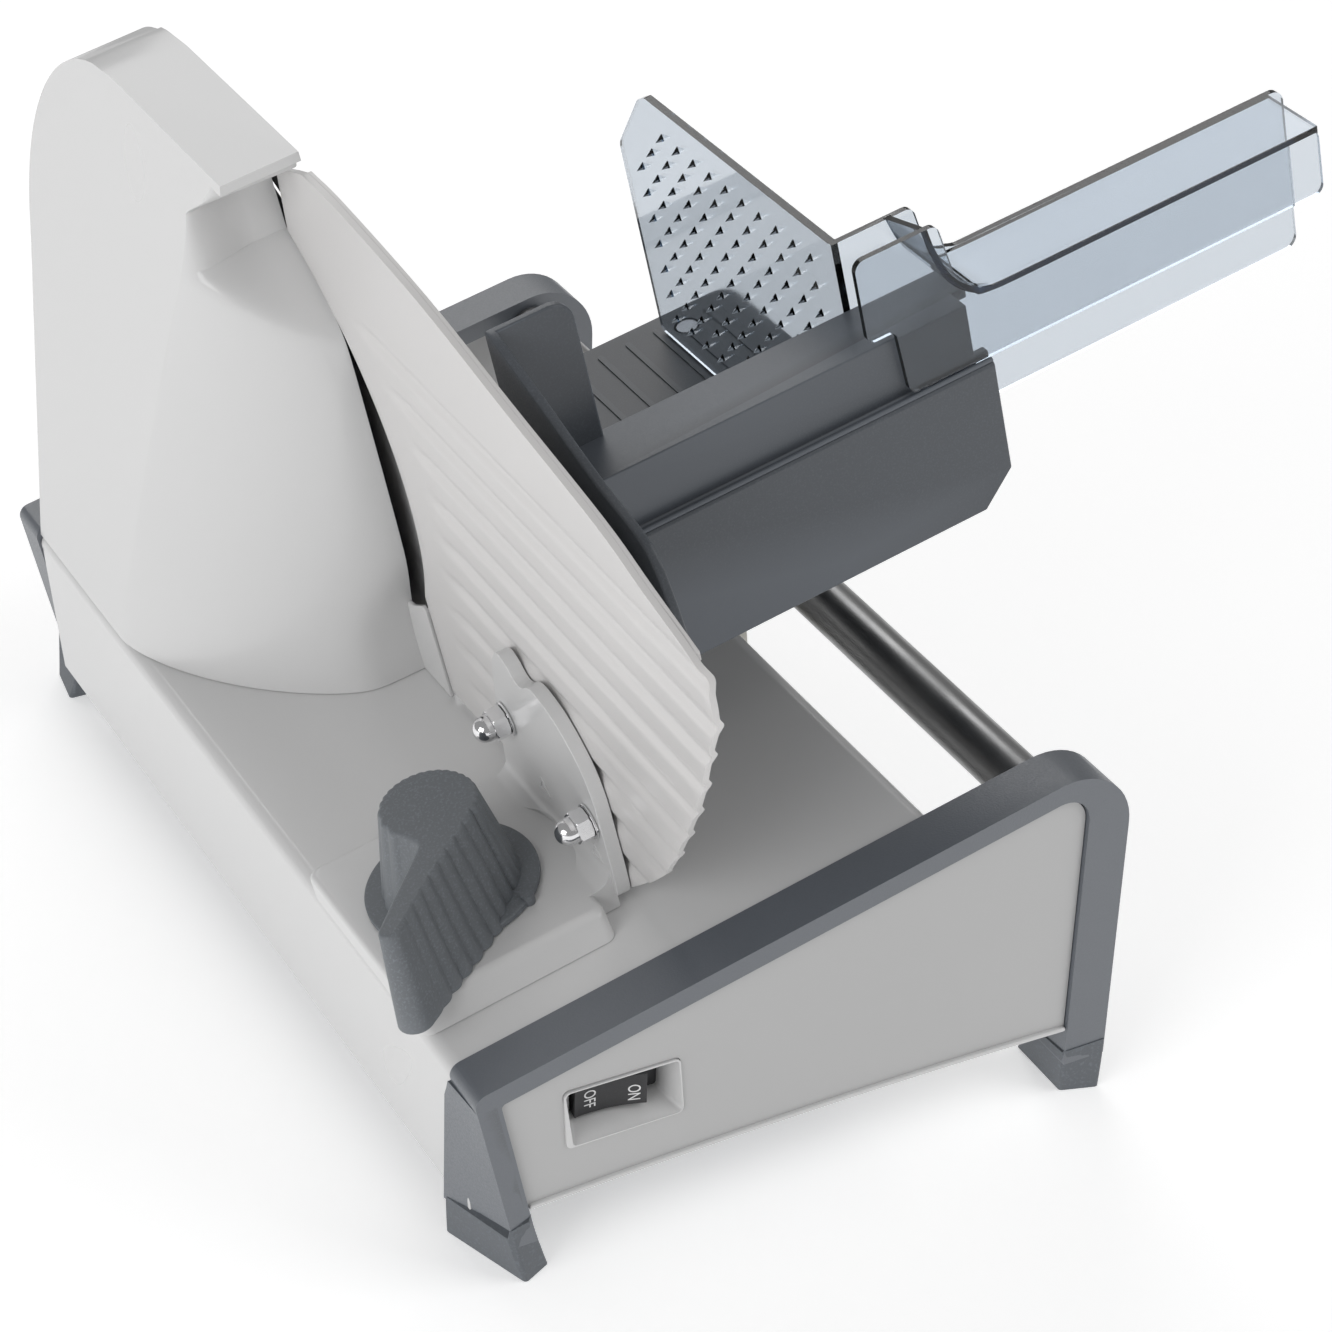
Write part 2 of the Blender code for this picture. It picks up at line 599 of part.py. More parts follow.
def make_drive(body):
    """The fixed pieces of the drive: motor, gear case and arbor bushes."""
    rear_start = 0.281
    can = rod("motor_case", body, COPPER, (WHEEL_X + WHEEL_WIDTH / 2, rear_start, WORM_Z), 0.036,
              MOTOR_RADIUS, (-math.pi / 2, 0, 0), 24)
    cut(can, rod("motor_bore", body, None, (WHEEL_X + WHEEL_WIDTH / 2, rear_start - 0.01, WORM_Z),
                 0.06, 0.0036, (-math.pi / 2, 0, 0), 16))
    case = block("gear_case", body, BLACK, (0.0385, 0.208, 0.044), (0.0585, 0.276, 0.118), 0.002)
    cut(case, block("gear_case_room", body, None, (0.0415, 0.2115, 0.020), (0.0555, 0.2725, 0.1145)))
    cut(case, rod("gear_case_bore", body, None, (0.030, BLADE_Y, BLADE_Z), 0.04, 0.0080,
                  (0, math.pi / 2, 0)))
    cut(case, rod("gear_case_shaft_hole", body, None, (WHEEL_X + WHEEL_WIDTH / 2, 0.19, WORM_Z),
                  0.12, 0.0084, (-math.pi / 2, 0, 0)))
    for name, start, outer, length in (("inner_bush", 0.0387, 0.0077, 0.0026),
                                       ("outer_bush", 0.0640, 0.0142, 0.0115)):
        turned(name, body, BRONZE, [(0.0058, length), (outer, length), (outer, 0), (0.0058, 0)],
               (start, BLADE_Y, BLADE_Z), (0, math.pi / 2, 0), 32)


def wheel_outline():
    points = []
    pitch = 360 / WHEEL_TEETH
    for tooth in range(WHEEL_TEETH):
        middle = -90 + pitch * (tooth + 0.5)
        for offset, radius in ((-0.27, WHEEL_ROOT), (-0.14, WHEEL_TIP), (0.14, WHEEL_TIP),
                               (0.27, WHEEL_ROOT)):
            angle = math.radians(middle + offset * pitch)
            points.append((radius * math.cos(angle), radius * math.sin(angle)))
    return points


def make_blade(body):
    disc = turned("blade", body, STEEL,
                  [(0, BLADE_THICKNESS), (BLADE_RADIUS - 0.006, BLADE_THICKNESS),
                   (BLADE_RADIUS, BLADE_THICKNESS - 0.0002), (BLADE_RADIUS - 0.006, 0), (0, 0)],
                  (BLADE_X, BLADE_Y, BLADE_Z), (0, math.pi / 2, 0), 64)
    cut(disc, rod("blade_bore", body, None, (BLADE_X - 0.002, BLADE_Y, BLADE_Z), 0.006, 0.0064,
                  (0, math.pi / 2, 0)))
    arbor = rod("blade_arbor", body, STEEL, (0.036, BLADE_Y, BLADE_Z), 0.0486, 0.0054,
                (0, math.pi / 2, 0))
    join(arbor, rod("arbor_flange", body, None, (0.0764, BLADE_Y, BLADE_Z), 0.0023, 0.018,
                    (0, math.pi / 2, 0), 32))
    wheel = plate("worm_wheel", body, NYLON, wheel_outline(), WHEEL_X, WHEEL_X + WHEEL_WIDTH, SIDE,
                  holes=(list(reversed(circle(0, 0, 0.0058, 24))),))
    wheel.location.y, wheel.location.z = BLADE_Y, BLADE_Z
    lock = turned("blade_lock", body, BLACK,
                  [(0, 0.0062), (0.0150, 0.0062), (0.0168, 0.0046), (0.0168, 0), (0, 0)],
                  (BLADE_X + BLADE_THICKNESS + GAP, BLADE_Y, BLADE_Z), (0, math.pi / 2, 0), 32)
    cut(lock, rod("lock_socket", body, None, (BLADE_X, BLADE_Y, BLADE_Z), 0.0062, 0.0060,
                  (0, math.pi / 2, 0)))
    join(lock, block("lock_grip", body, None, (0.0855, BLADE_Y - 0.013, BLADE_Z - 0.002),
                     (0.0885, BLADE_Y + 0.013, BLADE_Z + 0.002)))


def worm_mesh(start, end):
    """A shaft with a raised helical thread, as rings whose radius follows the thread."""
    build = bmesh.new()
    segments, rings_per_turn = 20, 12
    count = round((end - start) / WORM_LEAD * rings_per_turn)
    rings = []
    for row in range(count + 1):
        y = start + (end - start) * row / count
        fade = min(1.0, (y - start) / 0.003, (end - y) / 0.003)
        ring = []
        for i in range(segments):
            angle = 2 * math.pi * i / segments
            phase = (y - BLADE_Y) / WORM_LEAD - angle / (2 * math.pi)
            off = abs(phase - round(phase))
            height = min(1.0, max(0.0, (0.30 - off) / 0.14))
            radius = WORM_CORE + (WORM_TIP - WORM_CORE) * height * max(0.0, fade)
            ring.append(build.verts.new((radius * math.sin(angle), y, radius * math.cos(angle))))
        rings.append(ring)
    for lower, upper in zip(rings, rings[1:]):
        for i in range(segments):
            j = (i + 1) % segments
            build.faces.new((lower[i], lower[j], upper[j], upper[i]))
    build.faces.new(rings[0])
    build.faces.new(rings[-1])
    return finish_mesh(build, "motor_shaft")


def make_motor_shaft(body):
    x = WHEEL_X + WHEEL_WIDTH / 2
    shaft = add_object("motor_shaft", worm_mesh(0.224, 0.262), body, STEEL, (x, 0, WORM_Z), FLAT,
                       DECK)
    join(shaft, rod("motor_shaft_core", body, None, (x, 0.2135, WORM_Z), 0.1165, 0.0032,
                    (-math.pi / 2, 0, 0), 20))
    fan = turned("cooling_fan", body, BLACK,
                 [(0.0036, 0.006), (0.007, 0.006), (0.0075, 0.0016), (0.019, 0.0016), (0.019, 0),
                  (0.0036, 0)], (x, 0.3195, WORM_Z), (-math.pi / 2, 0, 0), 20)
    for number in range(6):
        angle = math.radians(60 * number)
        vane = block("fan_vane_%d" % number, body, None, (-0.0006, 0, 0), (0.0006, 0.0045, 0.012))
        vane.location = (x + 0.0125 * math.sin(angle), 0.3225, WORM_Z + 0.0125 * math.cos(angle))
        vane.rotation_euler = (0, angle, 0)
        join(fan, vane)


# ---- switch -------------------------------------------------------------------------
ROCKER_X, ROCKER_Y = (ROCKER_LOW[0] + ROCKER_HIGH[0]) / 2, 0.0085
ROCKER_TILT = math.radians(-8)


def make_switch(body, rocker_body):
    low, high = SWITCH_LOW, SWITCH_HIGH
    pocket = plate("switch_pocket", body, INSET, rounded_rectangle(*low, *high, 0.002, 3),
                   PANEL_SET_BACK, 0.0140, FRONT, ROOM)
    mouth = rounded_rectangle(low[0] + 0.001, low[1] + 0.001, high[0] - 0.001, high[1] - 0.001,
                              0.001, 2)
    throat = rounded_rectangle(ROCKER_LOW[0] - 0.0005, ROCKER_LOW[1] - 0.0005,
                               ROCKER_HIGH[0] + 0.0065, ROCKER_HIGH[1] + 0.0005, 0.001, 2)
    rings = [[(x, y, z) for x, z in outline] for outline, y in
             ((mouth, PANEL_SET_BACK - 0.001), (throat, 0.0105), (throat, 0.0150))]
    cut(pocket, loft("switch_funnel", body, None, rings, ROOM))
    block("switch_body", body, BLACK, (0.0348, 0.0146, 0.0470), (0.0660, 0.0320, 0.0620), 0.001,
          ROOM)
    half = (ROCKER_HIGH[0] - ROCKER_LOW[0]) / 2 - 0.0004
    outline = [(-half, 0.0035), (-half, -0.0020), (0.0, -0.0002), (half, -0.0020), (half, 0.0035),
               (0.003, 0.0042), (-0.003, 0.0042)]
    cosine, sine = math.cos(ROCKER_TILT), math.sin(ROCKER_TILT)
    turned_outline = [(ROCKER_X + x * cosine - y * sine, ROCKER_Y + x * sine + y * cosine)
                      for x, y in outline]
    plate("switch_rocker", rocker_body, BLACK, turned_outline, ROCKER_LOW[1], ROCKER_HIGH[1],
          FLAT, ROOM)


# ---- thickness knob and gauge --------------------------------------------------------
def knob_ring(share, height):
    """The knob's outline at a share of its height: a disc with a tapered pointer along local x."""
    radius = 0.0205 - 0.0056 * share
    tip = 0.0580 - 0.0040 * share
    long_side = 0.0185 - 0.0038 * share
    short_side = 0.0080 + 0.0006 * share
    root = 0.0030 + 0.0020 * share
    corner = 0.0025
    points = [(0.0, radius)]
    points += arc(tip - corner, long_side - corner, corner, 90, 0, 4)
    points += arc(tip - corner, short_side + corner, corner, 0, -90, 4)
    start = math.degrees(math.asin(root / radius))
    points += arc(0, 0, radius, start, -255, 20)
    return [(x, y, height) for x, y in points]


def make_knob(body):
    low = PLATFORM_TOP + 3 * GAP
    dial_top = PLATFORM_TOP + GAP + DIAL_THICKNESS
    pointer = loft("thickness_knob", body, KNOB, [knob_ring(0, low), knob_ring(1, KNOB_TOP)])
    pointer.location = (KNOB_X, KNOB_Y, 0)
    pointer.rotation_euler.z = KNOB_HEADING
    round_edges(pointer, 0.0012, 1, 60)
    cut(pointer, rod("dial_recess", body, None, (KNOB_X, KNOB_Y, 0), dial_top + GAP,
                     DIAL_RADIUS + 2 * GAP, FLAT, 40))
    rod("thickness_dial", body, KNOB, (KNOB_X, KNOB_Y, PLATFORM_TOP + GAP), DIAL_THICKNESS,
        DIAL_RADIUS, FLAT, 32)
    shaft_low = -0.0125
    rod("knob_shaft", body, STEEL, (KNOB_X, KNOB_Y, shaft_low), PLATFORM_TOP - shaft_low, 0.0038,
        FLAT, 20)
    rest = CAM_PIN_X - KNOB_X
    groove = CAM_PIN_RADIUS + 0.0005
    inner_side, outer_side = [], []
    steps = 22
    start = -GAUGE_OPEN - CAM_RUN_OUT
    for i in range(steps + 1):
        travel = start + (GAUGE_CLOSE + CAM_RUN_OUT - start) * i / steps
        angle = -travel * CAM_TURN
        radius = rest + travel
        inner_side.append(((radius - groove) * math.cos(angle), (radius - groove) * math.sin(angle)))
        outer_side.append(((radius + groove) * math.cos(angle), (radius + groove) * math.sin(angle)))
    hub = list(reversed(circle(0, 0, 0.0042, 20)))
    cam = plate("thickness_cam", body, NYLON, circle(0, 0, 0.0255, 40), -0.0095, -0.0055, FLAT,
                holes=(hub, outer_side + list(reversed(inner_side))))
    cam.location.x, cam.location.y = KNOB_X, KNOB_Y


def gauge_outline():
    """The gauge plate seen square on: sloping top, round nose, edge round the blade."""
    points = [(0.0468, 0.0012), (0.0335, 0.0095), (0.0203, 0.0237),
              (0.0025, 0.0438), (-0.0256, 0.0831), (-0.0425, 0.1125), (-0.0538, 0.1330),
              (-0.0543, 0.1440), (-0.0481, 0.1496), (-0.0253, 0.1587), (-0.0035, 0.1675),
              (0.0444, 0.1779), (0.0905, 0.1906), (0.1651, 0.1952), (0.1760, 0.1920),
              (0.1900, 0.1845)]
    points += arc(BLADE_Y, BLADE_Z, GAUGE_EDGE_RADIUS, 122, 208, 15)
    points += [(0.1640, 0.0360), (0.1650, 0.0012)]
    return points


NUT_SPOTS = {"upper": (0.1003, 0.0351), "lower": (0.0490, 0.0297)}


def bracket_outline():
    return [(0.116, 0.0012), (0.046, 0.0012), (0.0426, 0.0050), (0.0420, 0.0150),
            (0.0424, 0.0390), (0.0440, 0.0460), (0.0470, 0.0520), (0.0520, 0.0575),
            (0.0580, 0.0618), (0.0640, 0.0640), (0.0700, 0.0650), (0.0745, 0.0638),
            (0.0785, 0.0610), (0.0820, 0.0600), (0.0850, 0.0612), (0.0875, 0.0636),
            (0.0920, 0.0652), (0.0965, 0.0625), (0.1010, 0.0550), (0.1055, 0.0420),
            (0.1140, 0.0090)]


def make_gauge(body):
    low, slope = TRAY_TOP + GAP, 0.0044
    base = rounded_rectangle(GAP, PLATFORM_FRONT, PLATFORM_SIDE, PLATFORM_REAR, 0.003, 4)
    top = rounded_rectangle(2 * GAP, PLATFORM_FRONT + slope, PLATFORM_SIDE - GAP, PLATFORM_REAR,
                            0.003, 4)
    platform = loft("slide_platform", body, SHELL, [[(x, y, low) for x, y in base],
                                                    [(x, y, PLATFORM_TOP) for x, y in top]])
    slot = rounded_rectangle(KNOB_X - GAUGE_CLOSE - 0.0045, KNOB_Y - 0.0044,
                             KNOB_X + GAUGE_OPEN + 0.0045, KNOB_Y + 0.0044, 0.0042, 5)
    cut(platform, plate("shaft_slot", body, None, slot, low - 0.001, PLATFORM_TOP + 0.001, FLAT))
    foot_x = GAUGE_FACE - 0.0048
    join(platform, block("platform_tongue", body, None, (0.060, 0.042, low),
                         (foot_x - GAP, PLATFORM_REAR, PLATFORM_TOP)))
    rod("cam_follower_pin", body, STEEL, (CAM_PIN_X, KNOB_Y, -0.0090), 0.0070, CAM_PIN_RADIUS,
        FLAT, 16)
    bracket = plate("gauge_bracket", body, SHELL, bracket_outline(), foot_x, GAUGE_FACE - GAP, SIDE)
    gauge = plate("gauge_plate", body, GAUGE, gauge_outline(), GAUGE_FACE,
                  GAUGE_FACE + GAUGE_THICKNESS, SIDE)
    toward_slice = (0, -math.pi / 2, 0)
    for name, (y, z) in NUT_SPOTS.items():
        cut(bracket, rod(name + "_bracket_hole", body, None, (0.060, y, z), 0.03, 0.0028,
                         (0, math.pi / 2, 0), 16))
        cut(gauge, rod(name + "_gauge_hole", body, None, (0.060, y, z), 0.03, 0.0028,
                       (0, math.pi / 2, 0), 16))
        washer_face = foot_x - GAP
        turned(name + "_washer", body, CHROME,
               [(0.0027, 0.0009), (0.0056, 0.0009), (0.0056, 0), (0.0027, 0)],
               (washer_face, y, z), toward_slice, 24)
        nut_face = washer_face - 0.0009 - GAP
        nut = rod(name + "_acorn_nut", body, CHROME, (nut_face, y, z), 0.0045, 0.0054,
                  toward_slice, 6)
        join(nut, turned(name + "_nut_dome", body, None,
                         [(0, 0.0098), (0.0016, 0.0095), (0.0030, 0.0084), (0.0038, 0.0066),
                          (0.0040, 0.0040), (0.0040, 0.0015), (0, 0.0015)],
                         (nut_face, y, z), toward_slice, 16))
        join(nut, rod(name + "_bolt_shank", body, None, (nut_face - 0.002, y, z),
                      GAUGE_FACE + 0.0015 - nut_face + 0.002, 0.0024, (0, math.pi / 2, 0), 16))


# ---- carriage -------------------------------------------------------------------------
def flange_outline():
    return [(WALL_Y + WALL_THICKNESS, DECK_Z - DECK_THICKNESS),
            (WALL_Y + WALL_THICKNESS, 0.1790), (0.0715, 0.1822), (0.0680, 0.1825),
            (0.0193, 0.1627), (-0.0025, 0.1578), (-0.0090, 0.1530), (-0.0126, 0.1435),
            (-0.0160, 0.1330), (-0.0168, 0.1250), (-0.0150, 0.1150), (-0.0080, 0.1020),
            (0.0200, 0.0700), (APRON_FRONT, DECK_Z - DECK_THICKNESS)]


def make_carriage_wall(body):
    """Front wall, ledge, apron and blade-side flange in one moulding."""
    under = DECK_Z - DECK_THICKNESS
    left, right = FLANGE_X, CARRIAGE_END
    wall_back = WALL_Y + WALL_THICKNESS
    step = LEDGE_Z - 0.0035
    section = [(wall_back, under), (wall_back, LEDGE_Z), (LEDGE_FRONT, LEDGE_Z),
               (LEDGE_FRONT, APRON_TOP), (APRON_FRONT, APRON_TOP - 0.001),
               (APRON_FRONT, APRON_BASE), (APRON_FRONT + 0.003, APRON_BASE),
               (APRON_FRONT + 0.003, APRON_TOP - 0.004), (LEDGE_FRONT + 0.003, APRON_TOP - 0.003),
               (LEDGE_FRONT + 0.003, step), (WALL_Y, step), (WALL_Y, under)]
    wall = plate("carriage_wall", body, CARRIAGE, section, left + 0.001, right, SIDE)
    tab_right = 0.1115
    tab = [(left + 0.001, 0.120)] + [(tab_right, 0.120)]
    tab += arc(tab_right - 0.006, 0.1828 - 0.006, 0.006, 0, 90, 5)
    tab += [(left + 0.001, 0.1828)]
    join(wall, plate("carriage_tab", body, None, tab, WALL_Y, wall_back, FRONT))
    join(wall, plate("carriage_flange", body, None, flange_outline(), left,
                     left + FLANGE_THICKNESS, SIDE))
    corner = [(right - 0.0115, APRON_BASE - 0.001), (right + 0.002, APRON_BASE - 0.001),
              (right + 0.002, APRON_BASE + 0.0115)]
    cut(wall, plate("apron_chamfer", body, None, corner, 0.040, 0.0600, FRONT))


def make_carriage(body):
    make_carriage_wall(body)
    top, under = DECK_Z, DECK_Z - DECK_THICKNESS
    low_y = WALL_Y + WALL_THICKNESS + GAP
    deck = block("carriage_deck", body, CARRIAGE, (FLANGE_X, low_y, under),
                 (CARRIAGE_END, DECK_BACK, top), 0.0008)
    for number, (x, y) in enumerate(((ARM_SCREW_X, y) for y in ARM_SCREWS_Y), 1):
        cut(deck, rod("deck_hole_%d" % number, body, None, (x, y, under - 0.002), 0.01, 0.0024,
                      FLAT, 12))
        cut(deck, rod("deck_countersink_%d" % number, body, None, (x, y, top - 0.0018), 0.0020,
                      0.0024, FLAT, 12, tip_radius=0.0046))
        screw = rod("deck_screw_%d" % number, body, STEEL, (x, y, top - 0.0017), 0.0015, 0.0020,
                    FLAT, 12, tip_radius=0.0036)
        join(screw, rod("deck_screw_shank_%d" % number, body, None, (x, y, under - 0.008),
                        top - under + 0.007, 0.0019, FLAT, 12))
    make_arm(body)


ARM_X, ARM_WIDTH = 0.1814, 0.028
ARM_SCREW_X = ARM_X + 0.0205
ARM_LOW_Y, ARM_HIGH_Y = 0.160, 0.222
ARM_SCREWS_Y = (0.171, 0.211)


def make_arm(body):
    """The block that hangs from the deck, runs on the rail and carries the guide shoe."""
    under = DECK_Z - DECK_THICKNESS - GAP
    arm = block("carriage_arm", body, CARRIAGE, (ARM_X, ARM_LOW_Y, RAIL_Z - 0.0155),
                (ARM_X + ARM_WIDTH, ARM_HIGH_Y, under), 0.0015)
    cut(arm, rod("arm_bore", body, None, (RAIL_X, ARM_LOW_Y - 0.01, RAIL_Z), 0.1, 0.0112,
                 (-math.pi / 2, 0, 0), 32))
    cut(arm, block("arm_window", body, None, (ARM_X - 0.01, ARM_LOW_Y + 0.022, RAIL_Z + 0.020),
                   (ARM_X + ARM_WIDTH + 0.01, ARM_HIGH_Y - 0.022, under - 0.012)))
    for number, y in enumerate(ARM_SCREWS_Y, 1):
        cut(arm, rod("arm_screw_hole_%d" % number, body, None, (ARM_SCREW_X, y, under - 0.010),
                     0.02, 0.0022, FLAT, 12))
    for name, y in (("front_rail_bush", ARM_LOW_Y + 0.001), ("rear_rail_bush", ARM_HIGH_Y - 0.015)):
        turned(name, body, NYLON, [(RAIL_RADIUS + 0.0004, 0.014), (0.0109, 0.014), (0.0109, 0),
                                   (RAIL_RADIUS + 0.0004, 0)],
               (RAIL_X, y, RAIL_Z), (-math.pi / 2, 0, 0), 32)
    bar_face = skirt_x() + GAP
    arm_face = (DECK @ Vector((ARM_X, 0, RAIL_Z - 0.0155))).x
    shoe = [(bar_face + 0.0035, GUIDE_Z - 0.0045), (arm_face - 0.0004, GUIDE_Z - 0.0045),
            (arm_face - 0.0020, GUIDE_Z + 0.0095), (bar_face + 0.0035, GUIDE_Z + 0.0095),
            (bar_face + 0.0035, GUIDE_Z + 0.0055), (bar_face + 0.0100, GUIDE_Z + 0.0055),
            (bar_face + 0.0100, GUIDE_Z - 0.0005), (bar_face + 0.0035, GUIDE_Z - 0.0005)]
    plate("guide_shoe", body, NYLON, shoe, 0.165, 0.199, FRONT, ROOM)


# ---- pusher ---------------------------------------------------------------------------
def pusher_plate_mesh(name):
    """A plate with a grid of small pyramids on its slice-side face (local -x)."""
    outline = [(0.0764 + 0.0003, DECK_Z + 0.0008), (0.2150, DECK_Z + 0.0008), (0.2137, 0.1295),
               (0.1929, 0.1541), (0.1890, 0.1572), (0.1848, 0.1579), (0.0767, 0.1579)]
    return outline_mesh(name, outline, PUSHER_THICKNESS)


def spike_spots():
    """Centres of the spikes, in rows below the sloping rear corner."""
    spots = []
    for row in range(9):
        z = 0.1480 - SPIKE_PITCH_Z * row
        for column in range(12):
            y = 0.0890 + SPIKE_PITCH_Y * column
            if y < 0.205 - max(0.0, z - 0.120) * 0.75:
                spots.append((y, z))
    return spots


def make_pusher(body):
    """Smoke-clear moulding: spiked plate, saddle over the carriage wall, channel handle."""
    skin = PUSHER_SKIN
    back_in, front_in = HANDLE_BACK - skin, HANDLE_FRONT + skin
    pusher = add_object("food_pusher", pusher_plate_mesh("food_pusher"), body, CLEAR,
                        (PUSHER_X + PUSHER_THICKNESS / 2, 0, 0), SIDE, DECK)
    saddle_top_rear, saddle_top_front = 0.1583, 0.1665
    saddle_end = 0.2195
    rear = [(PUSHER_X, 0.0837), (HANDLE_END + 0.005, 0.0837), (HANDLE_END + 0.005, HANDLE_TOP),
            (saddle_end + 0.012, HANDLE_TOP), (saddle_end + 0.004, HANDLE_TOP + 0.004),
            (saddle_end, saddle_top_rear), (PUSHER_X, saddle_top_rear)]
    join(pusher, plate("pusher_rear_wall", body, None, rear, back_in, HANDLE_BACK + 0.0008, FRONT))
    front = [(0.1865, 0.1395), (0.1955, 0.1395), (0.1967, HANDLE_LIP), (HANDLE_END, HANDLE_LIP),
             (HANDLE_END, HANDLE_TOP), (saddle_end + 0.006, HANDLE_TOP),
             (saddle_end - 0.002, HANDLE_TOP + 0.006), (0.2137, saddle_top_front),
             (0.1865, saddle_top_front)]
    join(pusher, plate("pusher_front_wall", body, None, front, HANDLE_FRONT, front_in, FRONT))
    under = LEDGE_Z + 0.0006
    top = [(saddle_end - 0.006, saddle_top_rear), (saddle_end - 0.0085, saddle_top_rear),
           (saddle_end - 0.0005, under), (HANDLE_END, under), (HANDLE_END, HANDLE_TOP),
           (saddle_end + 0.003, HANDLE_TOP)]
    join(pusher, plate("pusher_top", body, None, top, front_in - 0.001, back_in + 0.001, FRONT))
    build = bmesh.new()
    for y, z in spike_spots():
        base = [(PUSHER_X + 0.0006, y + dy, z + dz) for dy, dz in
                ((-0.0017, -0.0018), (0.0017, -0.0018), (0.0, 0.0022))]
        corners = [build.verts.new(point) for point in base]
        tip = build.verts.new((PUSHER_X - 0.0028, y, z - 0.0006))
        build.faces.new(corners)
        for i in range(3):
            build.faces.new((corners[i], corners[(i + 1) % 3], tip))
    join(pusher, add_object("pusher_spikes", finish_mesh(build, "pusher_spikes"), body, None,
                            (0, 0, 0), FLAT, DECK))


# ---- assembly -------------------------------------------------------------------------
def stand_on_footprint(root):
    """Move the slicer so its bounding box stands centred on the origin."""
    bpy.context.view_layer.update()
    graph = bpy.context.evaluated_depsgraph_get()
    points = []
    for obj in PARTS.objects:
        if obj.type == 'MESH':
            shaped = obj.evaluated_get(graph)
            points += [shaped.matrix_world @ vertex.co for vertex in shaped.data.vertices]
    low = [min(point[axis] for point in points) for axis in range(3)]
    high = [max(point[axis] for point in points) for axis in range(3)]
    root.location = (-(low[0] + high[0]) / 2, -(low[1] + high[1]) / 2, -low[2])
    bpy.context.view_layer.update()


def main():
    root = make_body("slicer")
    frame = make_body("frame", root)
    blade = make_body("blade_axis", frame, DECK, (BLADE_X, BLADE_Y, BLADE_Z))
    motor = make_body("motor_axis", frame, DECK, (WHEEL_X + WHEEL_WIDTH / 2, BLADE_Y, WORM_Z))
    carriage = make_body("carriage_axis", frame, DECK, (RAIL_X, ARM_LOW_Y, RAIL_Z))
    pusher = make_body("pusher_axis", carriage, DECK, (PUSHER_X, WALL_Y, LEDGE_Z))
    gauge = make_body("gauge_axis", frame, DECK, (GAUGE_FACE, KNOB_Y, TRAY_TOP))
    knob = make_body("knob_axis", frame, DECK, (KNOB_X, KNOB_Y, PLATFORM_TOP))
    rocker = make_body("rocker_axis", frame, ROOM, (ROCKER_X, ROCKER_Y, ROCKER_LOW[1]))
    make_tray(frame)
    make_bottom_cover(frame)
    make_end(frame, False)
    make_end(frame, True)
    make_rail(frame)
    make_housing(frame)
    make_blade_guard(frame)
    make_drive(frame)
    make_switch(frame, rocker)
    make_blade(blade)
    make_motor_shaft(motor)
    make_gauge(gauge)
    make_knob(knob)
    make_carriage(carriage)
    make_pusher(pusher)
    stand_on_footprint(root)


main()
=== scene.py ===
"""Looks of the deli meat slicer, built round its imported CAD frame.

Lengths are millimetres.  DECK space runs along the tilted deck: x up the slope from the
slice side to the food side, y from the switch end to the rear, z square to the deck.
ROOM space has the same origin on the ground with z upright.
"""
import math

import bmesh
import bpy
from mathutils import Matrix, Vector


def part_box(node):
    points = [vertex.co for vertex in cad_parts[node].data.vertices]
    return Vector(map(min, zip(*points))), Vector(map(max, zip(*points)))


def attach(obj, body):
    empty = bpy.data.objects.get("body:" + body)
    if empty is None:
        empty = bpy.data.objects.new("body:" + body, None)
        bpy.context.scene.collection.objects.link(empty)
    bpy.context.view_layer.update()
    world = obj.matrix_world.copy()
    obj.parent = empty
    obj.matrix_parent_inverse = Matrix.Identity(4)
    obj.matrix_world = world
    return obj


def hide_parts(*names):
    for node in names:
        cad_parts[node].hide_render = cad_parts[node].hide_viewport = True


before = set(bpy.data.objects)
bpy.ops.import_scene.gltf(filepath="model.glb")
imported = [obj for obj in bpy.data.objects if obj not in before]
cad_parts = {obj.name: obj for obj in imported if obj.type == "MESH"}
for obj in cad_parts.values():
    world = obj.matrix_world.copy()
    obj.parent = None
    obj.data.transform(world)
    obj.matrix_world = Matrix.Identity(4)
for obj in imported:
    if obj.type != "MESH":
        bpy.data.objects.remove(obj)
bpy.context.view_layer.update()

MM = 0.001
TILT = math.radians(14.0)
RIDGE_HEIGHT = 74.2
LENGTH = 364.0
WIDTH = 218.0

BLADE_Y, BLADE_Z = 243.0, 86.0
KNOB_X, KNOB_Y = 33.0, 75.3
RAIL_X, RAIL_Z = 195.4, -11.3
BRACKET_FACE = 70.8                # slice side of the gauge bracket, where the nuts sit
BLADE_CLEARANCE = 90.8             # radius of the gauge plate's edge round the blade
DECK_SCREWS_Y = (171, 211)
PLATFORM_TOP, DIAL_RADIUS = 7.5, 26.5
FLAT, ALONG_X, ALONG_Y = "z", "x", "y"

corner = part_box("front_trim")[0]
ROOM = Matrix.Translation((corner.x, corner.y, 0.0))
DECK = ROOM @ Matrix.Translation((0, 0, RIDGE_HEIGHT * MM)) @ Matrix.Rotation(-TILT, 4, 'Y')


